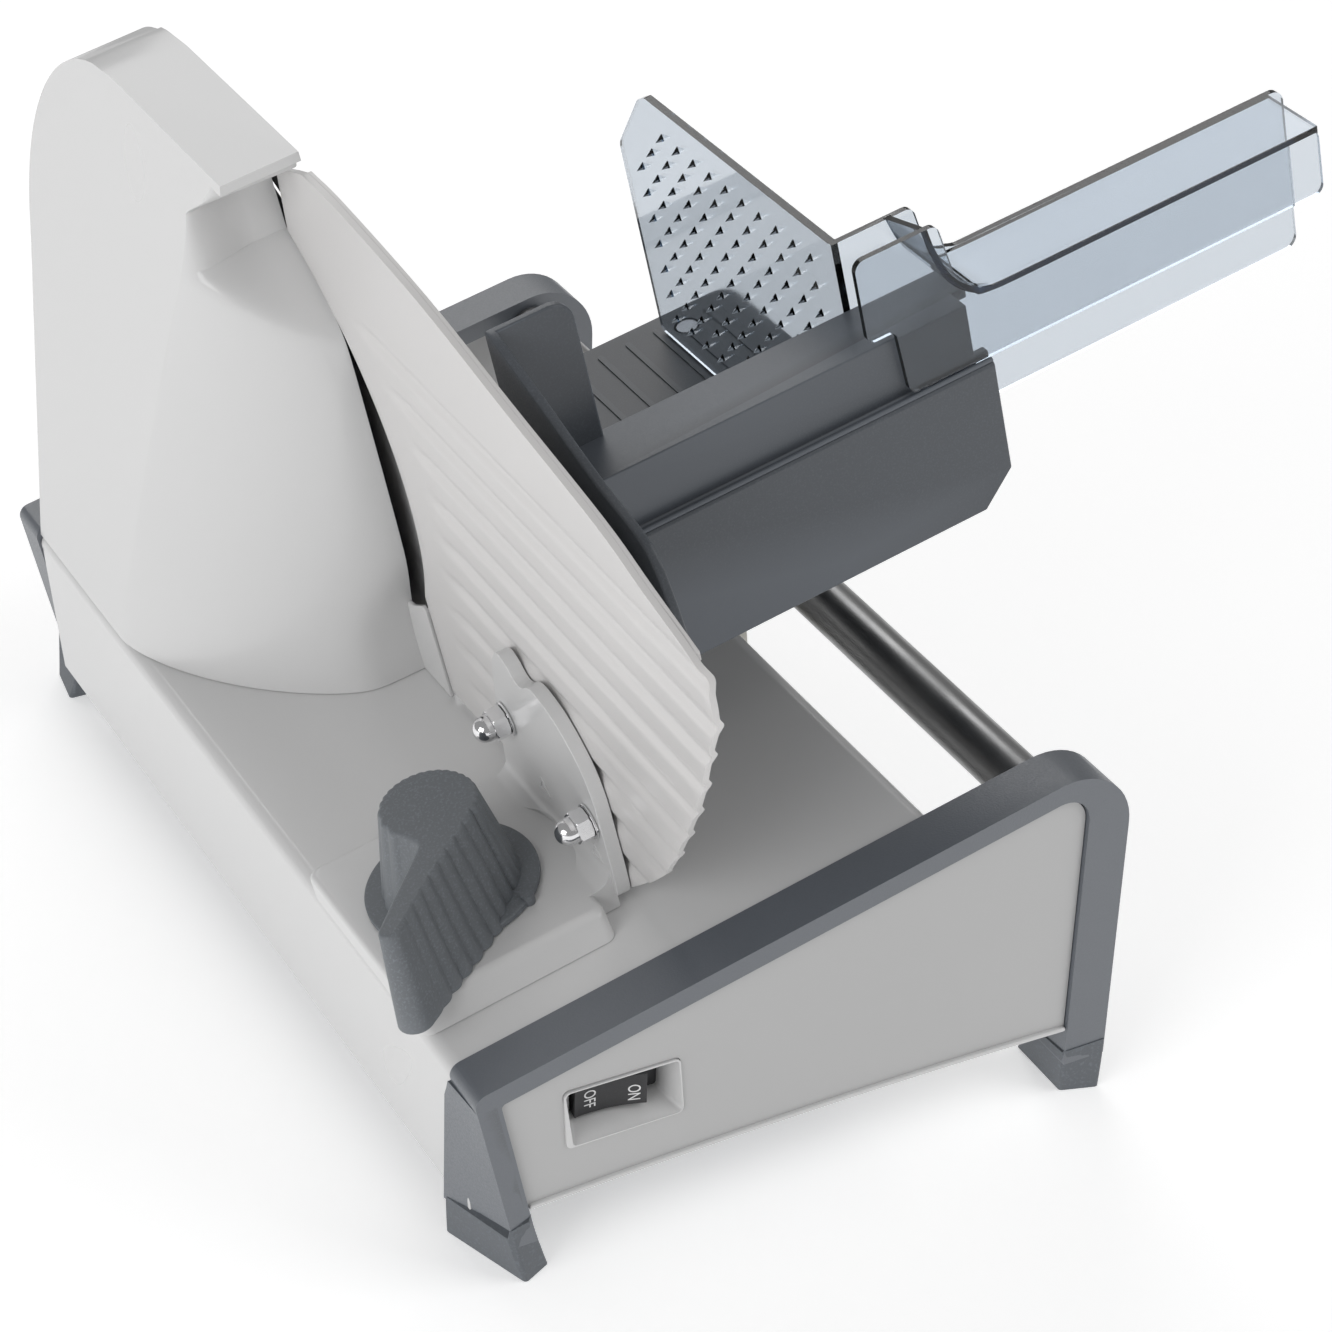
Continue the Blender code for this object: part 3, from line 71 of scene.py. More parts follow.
# ---- materials ----------------------------------------------------------------------
class Nodes:
    """A short way to write one material's node tree."""

    def __init__(self, name):
        self.material = bpy.data.materials.new(name)
        self.material.use_nodes = True
        self.tree = self.material.node_tree
        self.shader = self.tree.nodes["Principled BSDF"]
        self.place = self.add("ShaderNodeTexCoord").outputs["Object"]

    def add(self, kind, **settings):
        node = self.tree.nodes.new(kind)
        for key, value in settings.items():
            setattr(node, key, value)
        return node

    def link(self, output, target):
        self.tree.links.new(output, target)

    def set(self, node=None, **values):
        """Set inputs of a node, or of the shader; an underscore stands for a space."""
        for key, value in values.items():
            (node or self.shader).inputs[key.replace("_", " ")].default_value = value

    def drive(self, name, output):
        self.link(output, self.shader.inputs[name])

    def stretch(self, scale):
        mapping = self.add("ShaderNodeMapping")
        self.set(mapping, Scale=scale)
        self.link(self.place, mapping.inputs["Vector"])
        return mapping.outputs["Vector"]

    def noise(self, scale, detail=3.0, roughness=0.55, stretch=(1, 1, 1)):
        node = self.add("ShaderNodeTexNoise")
        self.set(node, Scale=scale, Detail=detail, Roughness=roughness)
        self.link(self.stretch(stretch), node.inputs["Vector"])
        return node.outputs["Fac"]

    def ramp(self, value, low, high, start=0.35, end=0.65):
        node = self.add("ShaderNodeMapRange")
        self.set(node, From_Min=start, From_Max=end, To_Min=low, To_Max=high)
        self.link(value, node.inputs["Value"])
        return node.outputs["Result"]

    def tint(self, factor, low, high):
        node = self.add("ShaderNodeMix", data_type='RGBA')
        self.set(node, A=(*low, 1), B=(*high, 1))
        self.link(factor, node.inputs["Factor"])
        return node.outputs["Result"]

    def mix_in(self, color, factor, other):
        """Lay a plain colour over an earlier one where factor is high."""
        node = self.add("ShaderNodeMix", data_type='RGBA')
        self.link(color, node.inputs["A"])
        self.set(node, B=(*other, 1))
        self.link(factor, node.inputs["Factor"])
        return node.outputs["Result"]

    def edges(self, start=0.52, end=0.62):
        """High on sharp outer edges, where the colour is lightened as a painted highlight."""
        pointiness = self.add("ShaderNodeNewGeometry").outputs["Pointiness"]
        return self.ramp(pointiness, 0.0, 1.0, start, end)

    def bump(self, height, strength, distance):
        node = self.add("ShaderNodeBump")
        self.set(node, Strength=strength, Distance=distance)
        self.link(height, node.inputs["Height"])
        self.link(node.outputs["Normal"], self.shader.inputs["Normal"])


def scaled(color, factor):
    return tuple(min(1.0, channel * factor) for channel in color)


def enamel(name, color, roughness=0.28, coat=0.35):
    """Sprayed enamel: a nearly even colour under a thin gloss."""
    nodes = Nodes(name)
    cloud = nodes.noise(9.0, 1.0)
    nodes.drive("Base Color", nodes.tint(cloud, scaled(color, 0.99), scaled(color, 1.01)))
    sheen = nodes.noise(12.0, 1.0)
    nodes.drive("Roughness", nodes.ramp(sheen, roughness - 0.01, roughness + 0.01, 0.2, 0.8))
    nodes.set(Coat_Weight=coat, Coat_Roughness=0.12, Specular_IOR_Level=0.45)
    return nodes.material


def grained(name, color, roughness=0.46, grain=1500.0, strength=0.16, edge_highlight=1.35, gloss=0.5):
    """Spark-grained moulded plastic, paler on its sharp edges as a painted highlight."""
    nodes = Nodes(name)
    speckle = nodes.noise(grain, 2.0, 0.6)
    cloud = nodes.noise(22.0, 4.0)
    base = nodes.tint(cloud, scaled(color, 0.95), scaled(color, 1.05))
    base = nodes.mix_in(base, nodes.ramp(speckle, 0.0, 0.45, 0.5, 0.7), scaled(color, 1.9))
    # painted highlight: the base colour is lightened on sharp edges
    base = nodes.mix_in(base, nodes.edges(), scaled(color, edge_highlight))
    nodes.drive("Base Color", base)
    nodes.drive("Roughness", nodes.ramp(speckle, roughness - 0.07, roughness + 0.07))
    nodes.set(Specular_IOR_Level=gloss)
    nodes.bump(speckle, strength, 0.0002)
    return nodes.material


def brushed(name, color, roughness=0.3, stretch=(1, 0.02, 1), scale=900.0):
    """Metal with fine lines along the direction that stretch squeezes."""
    nodes = Nodes(name)
    lines = nodes.noise(scale, 3.0, 0.6, stretch)
    smear = nodes.noise(35.0, 3.0, 0.5)
    nodes.drive("Base Color", nodes.tint(lines, scaled(color, 0.82), scaled(color, 1.12)))
    nodes.drive("Roughness", nodes.ramp(smear, roughness - 0.05, roughness + 0.08))
    nodes.set(Metallic=1.0)
    nodes.bump(lines, 0.12, 0.0001)
    return nodes.material


def plated(name, color=(0.80, 0.80, 0.81), roughness=0.07):
    """Bright plating with faint polishing haze."""
    nodes = Nodes(name)
    haze = nodes.noise(300.0, 3.0)
    nodes.drive("Base Color", nodes.tint(haze, scaled(color, 0.96), scaled(color, 1.03)))
    nodes.drive("Roughness", nodes.ramp(haze, roughness, roughness + 0.08))
    nodes.set(Metallic=1.0)
    return nodes.material


def smoke_clear(name):
    """Clear acrylic with a blue-grey tint that deepens with the length of plastic."""
    nodes = Nodes(name)
    ripple = nodes.noise(45.0, 2.0)
    nodes.drive("Base Color", nodes.tint(ripple, (0.93, 0.95, 0.97), (0.96, 0.98, 1.0)))
    nodes.drive("Roughness", nodes.ramp(ripple, 0.015, 0.05))
    nodes.set(Transmission_Weight=1.0, IOR=1.49)
    nodes.bump(nodes.noise(25.0, 2.0), 0.03, 0.0006)
    absorb = nodes.add("ShaderNodeVolumeAbsorption")
    nodes.set(absorb, Color=(0.40, 0.48, 0.56, 1), Density=270.0)
    output = nodes.tree.nodes["Material Output"]
    nodes.link(absorb.outputs["Volume"], output.inputs["Volume"])
    return nodes.material


ENAMEL = enamel("light_grey_enamel", (0.63, 0.63, 0.63))
PANEL = enamel("grey_panel_enamel", (0.47, 0.47, 0.47), 0.34, 0.2)
GAUGE = enamel("gauge_enamel", (0.62, 0.61, 0.605), 0.36, 0.15)
# the sixth value given to grained sets the painted highlight on sharp edges
TRIM = grained("dark_grey_trim", (0.085, 0.094, 0.108), 0.40, 1500.0, 0.3, 1.35, 1.0)
FOOT = grained("foot_rubber", (0.105, 0.116, 0.130), 0.55, 900.0, 0.2, 1.2)
CARRIAGE = grained("carriage_plastic", (0.060, 0.067, 0.077), 0.4, 1800.0, 0.1, 1.9)
KNOB = grained("knob_plastic", (0.135, 0.147, 0.160), 0.5, 1300.0, 0.14, 1.3)
BLACK = grained("black_plastic", (0.022, 0.022, 0.024), 0.38, 1600.0, 0.08, 1.6)
NYLON = grained("natural_nylon", (0.60, 0.585, 0.53), 0.5, 700.0, 0.1, 1.1)
STEEL = brushed("brushed_steel", (0.30, 0.30, 0.30), 0.34)
BLADE_STEEL = brushed("blade_steel", (0.60, 0.60, 0.60), 0.2, (1, 1, 1), 240.0)
GUARD_STEEL = brushed("guard_steel", (0.20, 0.20, 0.21), 0.35, (1, 1, 0.05), 500.0)
ZINC = brushed("zinc_plate", (0.45, 0.45, 0.46), 0.4, (1, 1, 1), 200.0)
BRONZE = brushed("sintered_bronze", (0.50, 0.33, 0.16), 0.4, (1, 1, 1), 600.0)
CHROME = plated("chrome")
CLEAR = smoke_clear("smoke_acrylic")
PRINT = enamel("printed_white", (0.80, 0.80, 0.80), 0.5, 0.0)


# ---- outlines -----------------------------------------------------------------------
def arc(center_x, center_y, radius, start, end, count):
    """Points from one angle to another, in degrees."""
    turn = (end - start) / (count - 1)
    angles = [math.radians(start + turn * i) for i in range(count)]
    return [(center_x + radius * math.cos(a), center_y + radius * math.sin(a)) for a in angles]


def rounded(corners, steps=8):
    """A closed outline whose corners, (x, y) or (x, y, radius), are rounded."""
    points = []
    for index, item in enumerate(corners):
        here = Vector(item[:2])
        radius = item[2] if len(item) > 2 else 0.0
        to_last = Vector(corners[index - 1][:2]) - here
        to_next = Vector(corners[(index + 1) % len(corners)][:2]) - here
        half = to_last.angle(to_next) / 2
        if radius <= 0 or half > 1.56:
            points.append(tuple(here))
            continue
        reach = min(radius / math.tan(half), 0.49 * to_last.length, 0.49 * to_next.length)
        radius = reach * math.tan(half)
        middle = to_last.normalized() + to_next.normalized()
        center = here + middle.normalized() * (radius / math.sin(half))
        first = here + to_last.normalized() * reach - center
        last = here + to_next.normalized() * reach - center
        sweep = first.angle_signed(last)
        for i in range(steps + 1):
            spoke = first.copy()
            spoke.rotate(Matrix.Rotation(-sweep * i / steps, 2))
            points.append(tuple(center + spoke))
    return points


def rectangle(low_x, low_y, high_x, high_y, radius, steps=6):
    return rounded([(low_x, low_y, radius), (high_x, low_y, radius), (high_x, high_y, radius),
        (low_x, high_y, radius)], steps)


def smooth_line(points, per_span=8):
    """A Catmull-Rom curve through open points."""
    vectors = [Vector(p) for p in points]
    vectors = [2 * vectors[0] - vectors[1]] + vectors + [2 * vectors[-1] - vectors[-2]]
    line = []
    for a, b, c, d in zip(vectors, vectors[1:], vectors[2:], vectors[3:]):
        for i in range(per_span):
            t = i / per_span
            line.append(0.5 * ((2 * b) + (c - a) * t + (2 * a - 5 * b + 4 * c - d) * t ** 2
                + (3 * b - a - 3 * c + d) * t ** 3))
    line.append(vectors[-2])
    return [tuple(p) for p in line]


def ease(value, start, end):
    """0 before start, 1 after end, smooth between."""
    t = min(1.0, max(0.0, (value - start) / (end - start)))
    return t * t * (3 - 2 * t)


def linked(name, data):
    obj = bpy.data.objects.new(name, data)
    bpy.context.scene.collection.objects.link(obj)
    return obj


def new_object(name, build, space):
    """An object from a bmesh in millimetres."""
    bmesh.ops.recalc_face_normals(build, faces=build.faces)
    bmesh.ops.scale(build, vec=(MM, MM, MM), verts=build.verts)
    mesh = bpy.data.meshes.new(name)
    build.to_mesh(mesh)
    build.free()
    obj = linked(name, mesh)
    obj.matrix_world = space
    return obj


def settle(obj):
    """Replace an object's mesh by its evaluated one and drop its modifiers."""
    graph = bpy.context.evaluated_depsgraph_get()
    mesh = bpy.data.meshes.new_from_object(obj.evaluated_get(graph))
    obj.modifiers.clear()
    obj.data = mesh
    return obj


def combine(obj, tools, operation):
    """Cut, join or intersect with tools, which are used up."""
    for tool in tools:
        modifier = obj.modifiers.new("Boolean", 'BOOLEAN')
        modifier.operation = operation
        modifier.solver = 'EXACT'
        modifier.object = tool
    bpy.context.view_layer.update()
    settle(obj)
    for tool in tools:
        bpy.data.objects.remove(tool, do_unlink=True)
    return obj


def cut(obj, *tools):
    return combine(obj, tools, 'DIFFERENCE')


def join(obj, *tools):
    return combine(obj, tools, 'UNION')


def round_edges(obj, width, segments=3, angle=32.0, weighted=False):
    bevel = obj.modifiers.new("Bevel", 'BEVEL')
    bevel.width = width * MM
    bevel.segments = segments
    bevel.limit_method = 'WEIGHT' if weighted else 'ANGLE'
    bevel.angle_limit = math.radians(angle)
    bevel.miter_outer = 'MITER_ARC'
    bevel.harden_normals = False
    bpy.context.view_layer.update()
    return settle(obj)


def finished(obj, material, body, nodes=(), angle=40.0):
    """Give a piece its material and shading, its body and the CAD nodes it stands for."""
    obj.data.materials.clear()
    obj.data.materials.append(material)
    obj.data.shade_smooth()
    obj.data.set_sharp_from_angle(angle=math.radians(angle))
    weighted = obj.modifiers.new("WeightedNormal", 'WEIGHTED_NORMAL')
    weighted.keep_sharp = True
    weighted.weight = 80
    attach(obj, body)
    if nodes:
        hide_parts(*nodes)
    return obj


def finish_rounded(obj, width, segments, material, body, nodes=(), angle=40.0):
    """Round every edge sharper than angle degrees, then finish the piece."""
    return finished(round_edges(obj, width, segments, angle), material, body, nodes)


def oriented(point, axis, along):
    """A point of a flat outline, set at a place along the axis square to it."""
    x, y = point
    return {FLAT: (x, y, along), ALONG_X: (along, x, y), ALONG_Y: (x, along, y)}[axis]


def plate(name, outline, near, far, axis, space=DECK, holes=()):
    """A flat outline extruded from near to far along axis."""
    build = bmesh.new()
    lower = [build.verts.new(oriented(p, axis, near)) for p in outline]
    face = build.faces.new(lower)
    result = bmesh.ops.extrude_face_region(build, geom=[face])
    moved = [item for item in result["geom"] if isinstance(item, bmesh.types.BMVert)]
    shift = Vector(oriented((0, 0), axis, far - near))
    bmesh.ops.translate(build, vec=shift, verts=moved)
    obj = new_object(name, build, space)
    if holes:
        span = (min(near, far) - 5, max(near, far) + 5)
        cut(obj, *[plate("hole", hole, *span, axis, space) for hole in holes])
    return obj


def block(name, low, high):
    outline = [(low[0], low[1]), (high[0], low[1]), (high[0], high[1]), (low[0], high[1])]
    return plate(name, outline, low[2], high[2], FLAT)


AXIS_TURN = {FLAT: Matrix.Identity(4), ALONG_X: Matrix.Rotation(math.pi / 2, 4, 'Y'),
    ALONG_Y: Matrix.Rotation(-math.pi / 2, 4, 'X')}


def turned(name, profile, place, axis, steps=48):
    """A round piece from (radius, distance along its axis) points; ends at radius 0 close."""
    build = bmesh.new()
    rings = []
    for radius, along in profile:
        if radius <= 0:
            rings.append([build.verts.new((0, 0, along))])
            continue
        rings.append([build.verts.new((radius * math.cos(2 * math.pi * i / steps), radius
            * math.sin(2 * math.pi * i / steps), along)) for i in range(steps)])
    closed = all(radius > 0 for radius, along in profile)
    pairs = list(zip(rings, rings[1:]))
    if closed:
        pairs.append((rings[-1], rings[0]))
    for first, second in pairs:
        for i in range(steps):
            j = (i + 1) % steps
            a, b = first[i % len(first)], first[j % len(first)]
            c, d = second[j % len(second)], second[i % len(second)]
            corners = list(dict.fromkeys((a, b, c, d)))
            if len(corners) > 2:
                build.faces.new(corners)
    turn = Matrix.Translation(place) @ AXIS_TURN[axis]
    bmesh.ops.transform(build, matrix=turn, verts=build.verts)
    return new_object(name, build, DECK)


def rod(name, place, axis, radius, length, steps=32):
    return turned(name, [(0, 0), (radius, 0), (radius, length), (0, length)], place, axis, steps)


def skin(build, rings):
    """Close a skin through rings of equally many points; returns their vertices."""
    levels = [[build.verts.new(point) for point in ring] for ring in rings]
    count = len(rings[0])
    for lower, upper in zip(levels, levels[1:]):
        for i in range(count):
            j = (i + 1) % count
            build.faces.new((lower[i], lower[j], upper[j], upper[i]))
    build.faces.new(levels[0])
    build.faces.new(levels[-1])
    return levels


def loft(name, rings, space=DECK):
    build = bmesh.new()
    skin(build, rings)
    return new_object(name, build, space)


def mirror_y(value, rear):
    return LENGTH - value if rear else value


# ---- end frames ---------------------------------------------------------------------
FRAME_DEPTH, BAND, HIGH_LEG = 17.0, 6.6, 14.7
SILL = 27.0
LOW_FOOT_TOP, HIGH_FOOT_TOP = 15.0, 14.0
SWITCH = [(31.6, 44.5, 1.6), (69.1, 44.4, 1.6), (66.9, 65.2, 2.0), (28.6, 65.9, 2.0)]


def ridge(x):
    return RIDGE_HEIGHT + x * math.tan(TILT)


def low_leg(height, inner):
    """x of the leaning leg's outer or inner edge at a height above the ground."""
    if inner:
        return 8.6 + (69.5 - height) * 0.2187
    return (RIDGE_HEIGHT - height) * math.tan(TILT) * 0.91


def leg_back(height, rear):
    """(x, y) of a low leg's inner corner: the front leg flares outward down to its foot."""
    drop = 67.0 - min(height, 67.0)
    if rear:
        return low_leg(height, False), 16.8
    return 0.3 + 0.08 * drop, 17.5 + 2.0 * (1 - ease(height, 62, 69)) + 0.19 * drop


def opening_outline(margin, sill, radius):
    right = WIDTH - HIGH_LEG - margin
    corner_x = low_leg(69.5, True) + margin
    drop = (BAND + margin) / math.cos(TILT)
    return rounded([(low_leg(sill, True) + margin, sill, 1.5), (right, sill, 1.5),
        (right, ridge(right) - drop, radius + 2), (corner_x, ridge(corner_x) - drop, 1.5)], 10)


def make_trim(rear):
    end = "rear" if rear else "front"
    outer = rounded([(low_leg(LOW_FOOT_TOP, False), LOW_FOOT_TOP), (0, RIDGE_HEIGHT, 4.0),
        (WIDTH, ridge(WIDTH), 21.0), (WIDTH, HIGH_FOOT_TOP), (WIDTH - HIGH_LEG, HIGH_FOOT_TOP),
        (WIDTH - HIGH_LEG, SILL - 6), (low_leg(SILL - 6, True), SILL - 6),
        (low_leg(LOW_FOOT_TOP, True), LOW_FOOT_TOP)], 14)
    trim = plate(end + "_end_frame", outer, mirror_y(0, rear), mirror_y(FRAME_DEPTH, rear), ALONG_Y, ROOM)
    cut(trim, plate("opening", opening_outline(0, SILL - 12, 7.0), mirror_y(-5, rear),
        mirror_y(FRAME_DEPTH + 5, rear), ALONG_Y, ROOM))
    rings = []
    for z in (LOW_FOOT_TOP, 25, 35, 45, 55, 62, 66, 69):
        (x, depth), front_x = leg_back(z, rear), low_leg(z, False)
        rings.append([(front_x, mirror_y(0, rear), z), (x, mirror_y(depth, rear), z),
            (x + 5, mirror_y(depth, rear), z), (front_x + 6, mirror_y(0, rear), z)])
    join(trim, loft("flare", rings, ROOM))
    finish_rounded(trim, 1.9, 4, TRIM, "frame", [end + "_trim"])


def panel_edge(x, rise=2.0):
    """Lower edge of a panel, slightly arched between the legs."""
    low, high = low_leg(SILL, True), WIDTH - HIGH_LEG
    t = (x - low) / (high - low)
    return SILL + rise * 4 * t * (1 - t)


def make_panel(rear):
    end = "rear" if rear else "front"
    low, high = low_leg(SILL, True) + 0.3, WIDTH - HIGH_LEG - 0.3
    count = 24
    spots = [low + (high - low) * i / count for i in range(count + 1)]
    edge = [(x, panel_edge(x)) for x in spots]
    upper = [p for p in opening_outline(0.3, SILL, 7.0) if p[1] > SILL + 6]
    holes = [] if rear else [rounded(SWITCH, 6)]
    panel = plate(end + "_inset_panel", edge + upper, mirror_y(1.7, rear), mirror_y(4.6, rear), ALONG_Y,
        ROOM, holes)
    finish_rounded(panel, 0.5, 2, PANEL, "frame", [end + "_panel"])
    lip = edge + [(x, z + 1.5) for x, z in reversed(edge)]
    border = plate(end + "_panel_hem", lip, mirror_y(0.3, rear), mirror_y(16, rear), ALONG_Y, ROOM)
    finish_rounded(border, 0.6, 3, ENAMEL, "frame")


def make_foot(rear, low_side):
    """A foot that carries on its leg, flared outward to the rear and standing flat."""
    end = "rear" if rear else "front"
    side = "low" if low_side else "high"
    step = 0.35
    if low_side:
        top = [(low_leg(22, False) - step, -step, 22.0), (low_leg(26, True) + step, -step, 26.0),
            (low_leg(20, True) + step, 26.0, 19.0), (leg_back(15, rear)[0] - step, leg_back(15, rear)[1]
            + step, 15.0)]
        base = [(16.9, 0.0), (26.5, 4.7), (26.5, 32.0), (5.7, 32.0)]
        if rear:
            top[2] = (low_leg(20, True) + step, FRAME_DEPTH, 19.0)
            base = [(12.0, -4.0), (26.5, 0.0), (26.5, 14.0), (9.5, 14.0)]
        power = 1.15
    else:
        left, right = WIDTH - HIGH_LEG - step, WIDTH + step
        top = [(left, -step, 19.5), (right, -step, 19.5), (right, FRAME_DEPTH + step, 17.0),
            (left, FRAME_DEPTH + step, 17.0)]
        base = [(205.7, 4.0), (WIDTH + 0.3, 0), (WIDTH + 0.3, 29.0), (206.0, 29.0)]
        power = 1.3
    rings = []
    levels = 14
    for i in range(levels + 1):
        t = i / levels
        lean = (1 - t) ** power
        corners = [(a[0] * (1 - lean) + b[0] * lean, a[1] * (1 - lean) + b[1] * lean, 1.3) for a,
            b in zip(top, base)]
        ring = rounded(corners, 5)
        per_corner = len(ring) // 4
        heights = []
        for index in range(len(ring)):
            place = index / per_corner - 0.5
            first = math.floor(place) % 4
            share = ease(place - math.floor(place), 0.15, 0.85)
            heights.append(top[first][2] * (1 - share) + top[(first + 1) % 4][2] * share)
        rings.append([(x, mirror_y(y, rear), height * t) for (x, y), height in zip(ring, heights)])
    foot = loft(end + "_" + side + "_foot_cap", rings, ROOM)
    finish_rounded(foot, 0.5, 2, FOOT, "frame", [end + "_" + side + "_foot"], angle=50)


# ---- base ---------------------------------------------------------------------------
TRAY_TOP, TRAY_WIDTH, TRAY_EDGE, TRAY_BASE = -2.0, 163.0, 5.0, 33.0
LOW_WALL_FOOT = (7.4, 16.5)


def skirt_x():
    corner_point = ROOM.inverted() @ DECK @ Vector(((TRAY_WIDTH - TRAY_EDGE) * MM, 0,
        (TRAY_TOP - TRAY_EDGE) * MM))
    return corner_point.x / MM + TRAY_EDGE


def make_tray():
    foot = DECK.inverted() @ ROOM @ Vector((skirt_x() * MM, 0, TRAY_BASE * MM))
    edge = TRAY_EDGE
    low = DECK.inverted() @ ROOM @ Vector((LOW_WALL_FOOT[0] * MM, 0, LOW_WALL_FOOT[1] * MM)) / MM

    def section(wall, steps):
        return ([(low.x + wall, low.z)] + arc(0.5 + edge, TRAY_TOP - edge, edge - wall, 187, 90, steps)
            + arc(TRAY_WIDTH - edge, TRAY_TOP - edge, edge - wall, 90, -14, steps)
            + [(foot.x / MM - wall, foot.z / MM)])

    outer, inner = section(0.0, 12), section(2.5, 8)
    tray = plate("base_shell", outer + list(reversed(inner)), FRAME_DEPTH + 0.3, LENGTH - FRAME_DEPTH
        - 0.3, ALONG_Y)
    groove = rectangle(77.6, BLADE_Y - 32, 82.0, BLADE_Y + 32, 2.0)
    pin_slot = rectangle(KNOB_X + 6.6, KNOB_Y - 2.8, KNOB_X + 23.8, KNOB_Y + 2.8, 2.4)
    cut(tray, plate("groove", groove, TRAY_TOP - 6, TRAY_TOP + 3, FLAT),
        plate("slot", pin_slot, TRAY_TOP - 6, TRAY_TOP + 3, FLAT),
        rod("hole", (KNOB_X, KNOB_Y, TRAY_TOP - 6), FLAT, 4.6, 9))
    finish_rounded(tray, 0.5, 2, ENAMEL, "frame", ["base_tray"], angle=50)


def make_rail():
    rail = turned("rail_tube", [(3.4, 0), (7.6, 0), (8.4, 0.8), (8.4, 328.6), (7.6, 329.4),
        (3.4, 329.4)], (RAIL_X, FRAME_DEPTH + 0.3, RAIL_Z), ALONG_Y, 96)
    finished(rail, STEEL, "frame", ["carriage_rail"])


# ---- housing ------------------------------------------------------------------------
HOUSING_TOP, HOOD_RADIUS, HOOD_CENTER_Y, HOOD_FRONT = 202.3, 85.0, 248.0, 165.5
HOOD_UNDER = 199.2
HOUSING_FACE = 76.2


def housing_left(z):
    return (1.9 + z * math.sin(TILT)) / math.cos(TILT)


def housing_back(z):
    """The rear outline: a round top and a nearly straight back."""
    center_z = HOUSING_TOP - HOOD_RADIUS
    if z > center_z:
        return HOOD_CENTER_Y + math.sqrt(max(0.0, HOOD_RADIUS ** 2 - (z - center_z) ** 2))
    return HOOD_CENTER_Y + HOOD_RADIUS + 13.0 * (1 - (z + 2) / (center_z + 2))


def gauge_edge(z):
    """y of the gauge plate's rear edge, round the blade."""
    if z < 43:
        return 164.5
    if z < 162.5:
        return BLADE_Y - math.sqrt(BLADE_CLEARANCE ** 2 - (z - BLADE_Z) ** 2)
    return 194.0 - 2.2 * max(0.0, z - 183.0)


def housing_front(x, z):
    """y of the housing's front surface: a full round below, drawn forward under the hood."""
    left, right = housing_left(z), HOUSING_FACE
    rise = max(0.0, 1.0 - max(z, 0.0) / HOUSING_TOP)
    reach = 3.0 + 91.0 * rise ** 0.75
    front = HOOD_FRONT + 11.0 * rise
    across = min(1.0, max(0.0, (right - x) / (right - left)))
    angle = math.asin(across ** 0.75)
    y = front + reach * (1 - math.cos(angle) ** (4 / 3))
    near_slot = ease(x, 15.0, 66.5)
    low_front = 184.5 - 32.0 * ease(z, 10, 100)
    deeper = max(gauge_edge(z) + 2.2, low_front) - y
    return y + (deeper + math.hypot(deeper, 4.0)) / 2 * near_slot


def housing_section(z, under_hood):
    """Corner points of one level: right face, round front, left wall, back."""
    left, right = housing_left(z), 77.4 if under_hood else HOUSING_FACE
    count, rows = 60, 26
    if under_hood:
        points = [(right + (left - right) * i / count, HOOD_FRONT) for i in range(count + 1)]
    else:
        across = [right - (right - left) * math.sin(math.pi / 2 * i / count) ** (4 / 3)
            for i in range(count + 1)]
        points = [(x, housing_front(x, z)) for x in across]
    start, back = points[-1][1], housing_back(z)
    points += [(left, start + (back - start) * i / rows) for i in range(1, rows + 1)]
    return points + [(right, back)]


def make_housing():
    center_z = HOUSING_TOP - HOOD_RADIUS
    heights = [-1.7, 0.5] + [4 + 4.0 * i for i in range(28)]
    heights += [center_z + HOOD_RADIUS * math.sin(math.radians(2 * a)) for a in range(1, 36)]
    rings = [[(x, y, z) for x, y in housing_section(z, False)] for z in heights if z < HOOD_UNDER - 0.5]
    rings.append([(x, y, HOOD_UNDER) for x, y in housing_section(HOOD_UNDER, False)])
    for z in (HOOD_UNDER, 200.6, HOUSING_TOP):
        rings.append([(x, y, z) for x, y in housing_section(z, True)])
    build = bmesh.new()
    weight = build.edges.layers.float.new("bevel_weight_edge")
    levels = skin(build, rings)
    count = len(rings[0])
    back_corner = count - 2
    for lower, upper in zip(levels, levels[1:]):
        for column in (back_corner, back_corner + 1, 0):
            edge = build.edges.get((lower[column], upper[column]))
            if edge:
                edge[weight] = 0.8 if column == back_corner else 0.4
    top = levels[-1]
    for i in range(count):
        edge = build.edges.get((top[i], top[(i + 1) % count]))
        edge[weight] = 0.35 if i < 61 else (0.8 if i < back_corner else 0.0)
    housing = new_object("blade_housing", build, DECK)
    round_edges(housing, 1.6, 4, weighted=True)
    finished(housing, ENAMEL, "frame", ["motor_housing"], 32)
    fin_outline = rounded([(165.7, -1.7), (165.7, 36.0, 2.0), (178.0, 28.6, 8.0), (192.0, 26.0),
        (192.0, -1.7)], 6)
    fin = plate("housing_fin", fin_outline, 74.8, 76.1, ALONG_X)
    finish_rounded(fin, 0.35, 2, ENAMEL, "frame")


def make_guard():
    outline = arc(BLADE_Y, BLADE_Z, 98.0, -20, 81.8, 60) + [(185.5, 183.0)]
    outline += arc(BLADE_Y, BLADE_Z, 91.2, 126, -20, 80)
    guard = plate("blade_guard_ring", outline, 79.8, 81.2, ALONG_X)
    posts = []
    for angle in (100, 45, -10):
        y = BLADE_Y + 94.6 * math.cos(math.radians(angle))
        z = BLADE_Z + 94.6 * math.sin(math.radians(angle))
        posts.append(rod("post", (76.5, y, z), ALONG_X, 2.8, 4.0))
    join(guard, *posts)
    finish_rounded(guard, 0.3, 2, GUARD_STEEL, "frame", ["blade_guard"], angle=50)


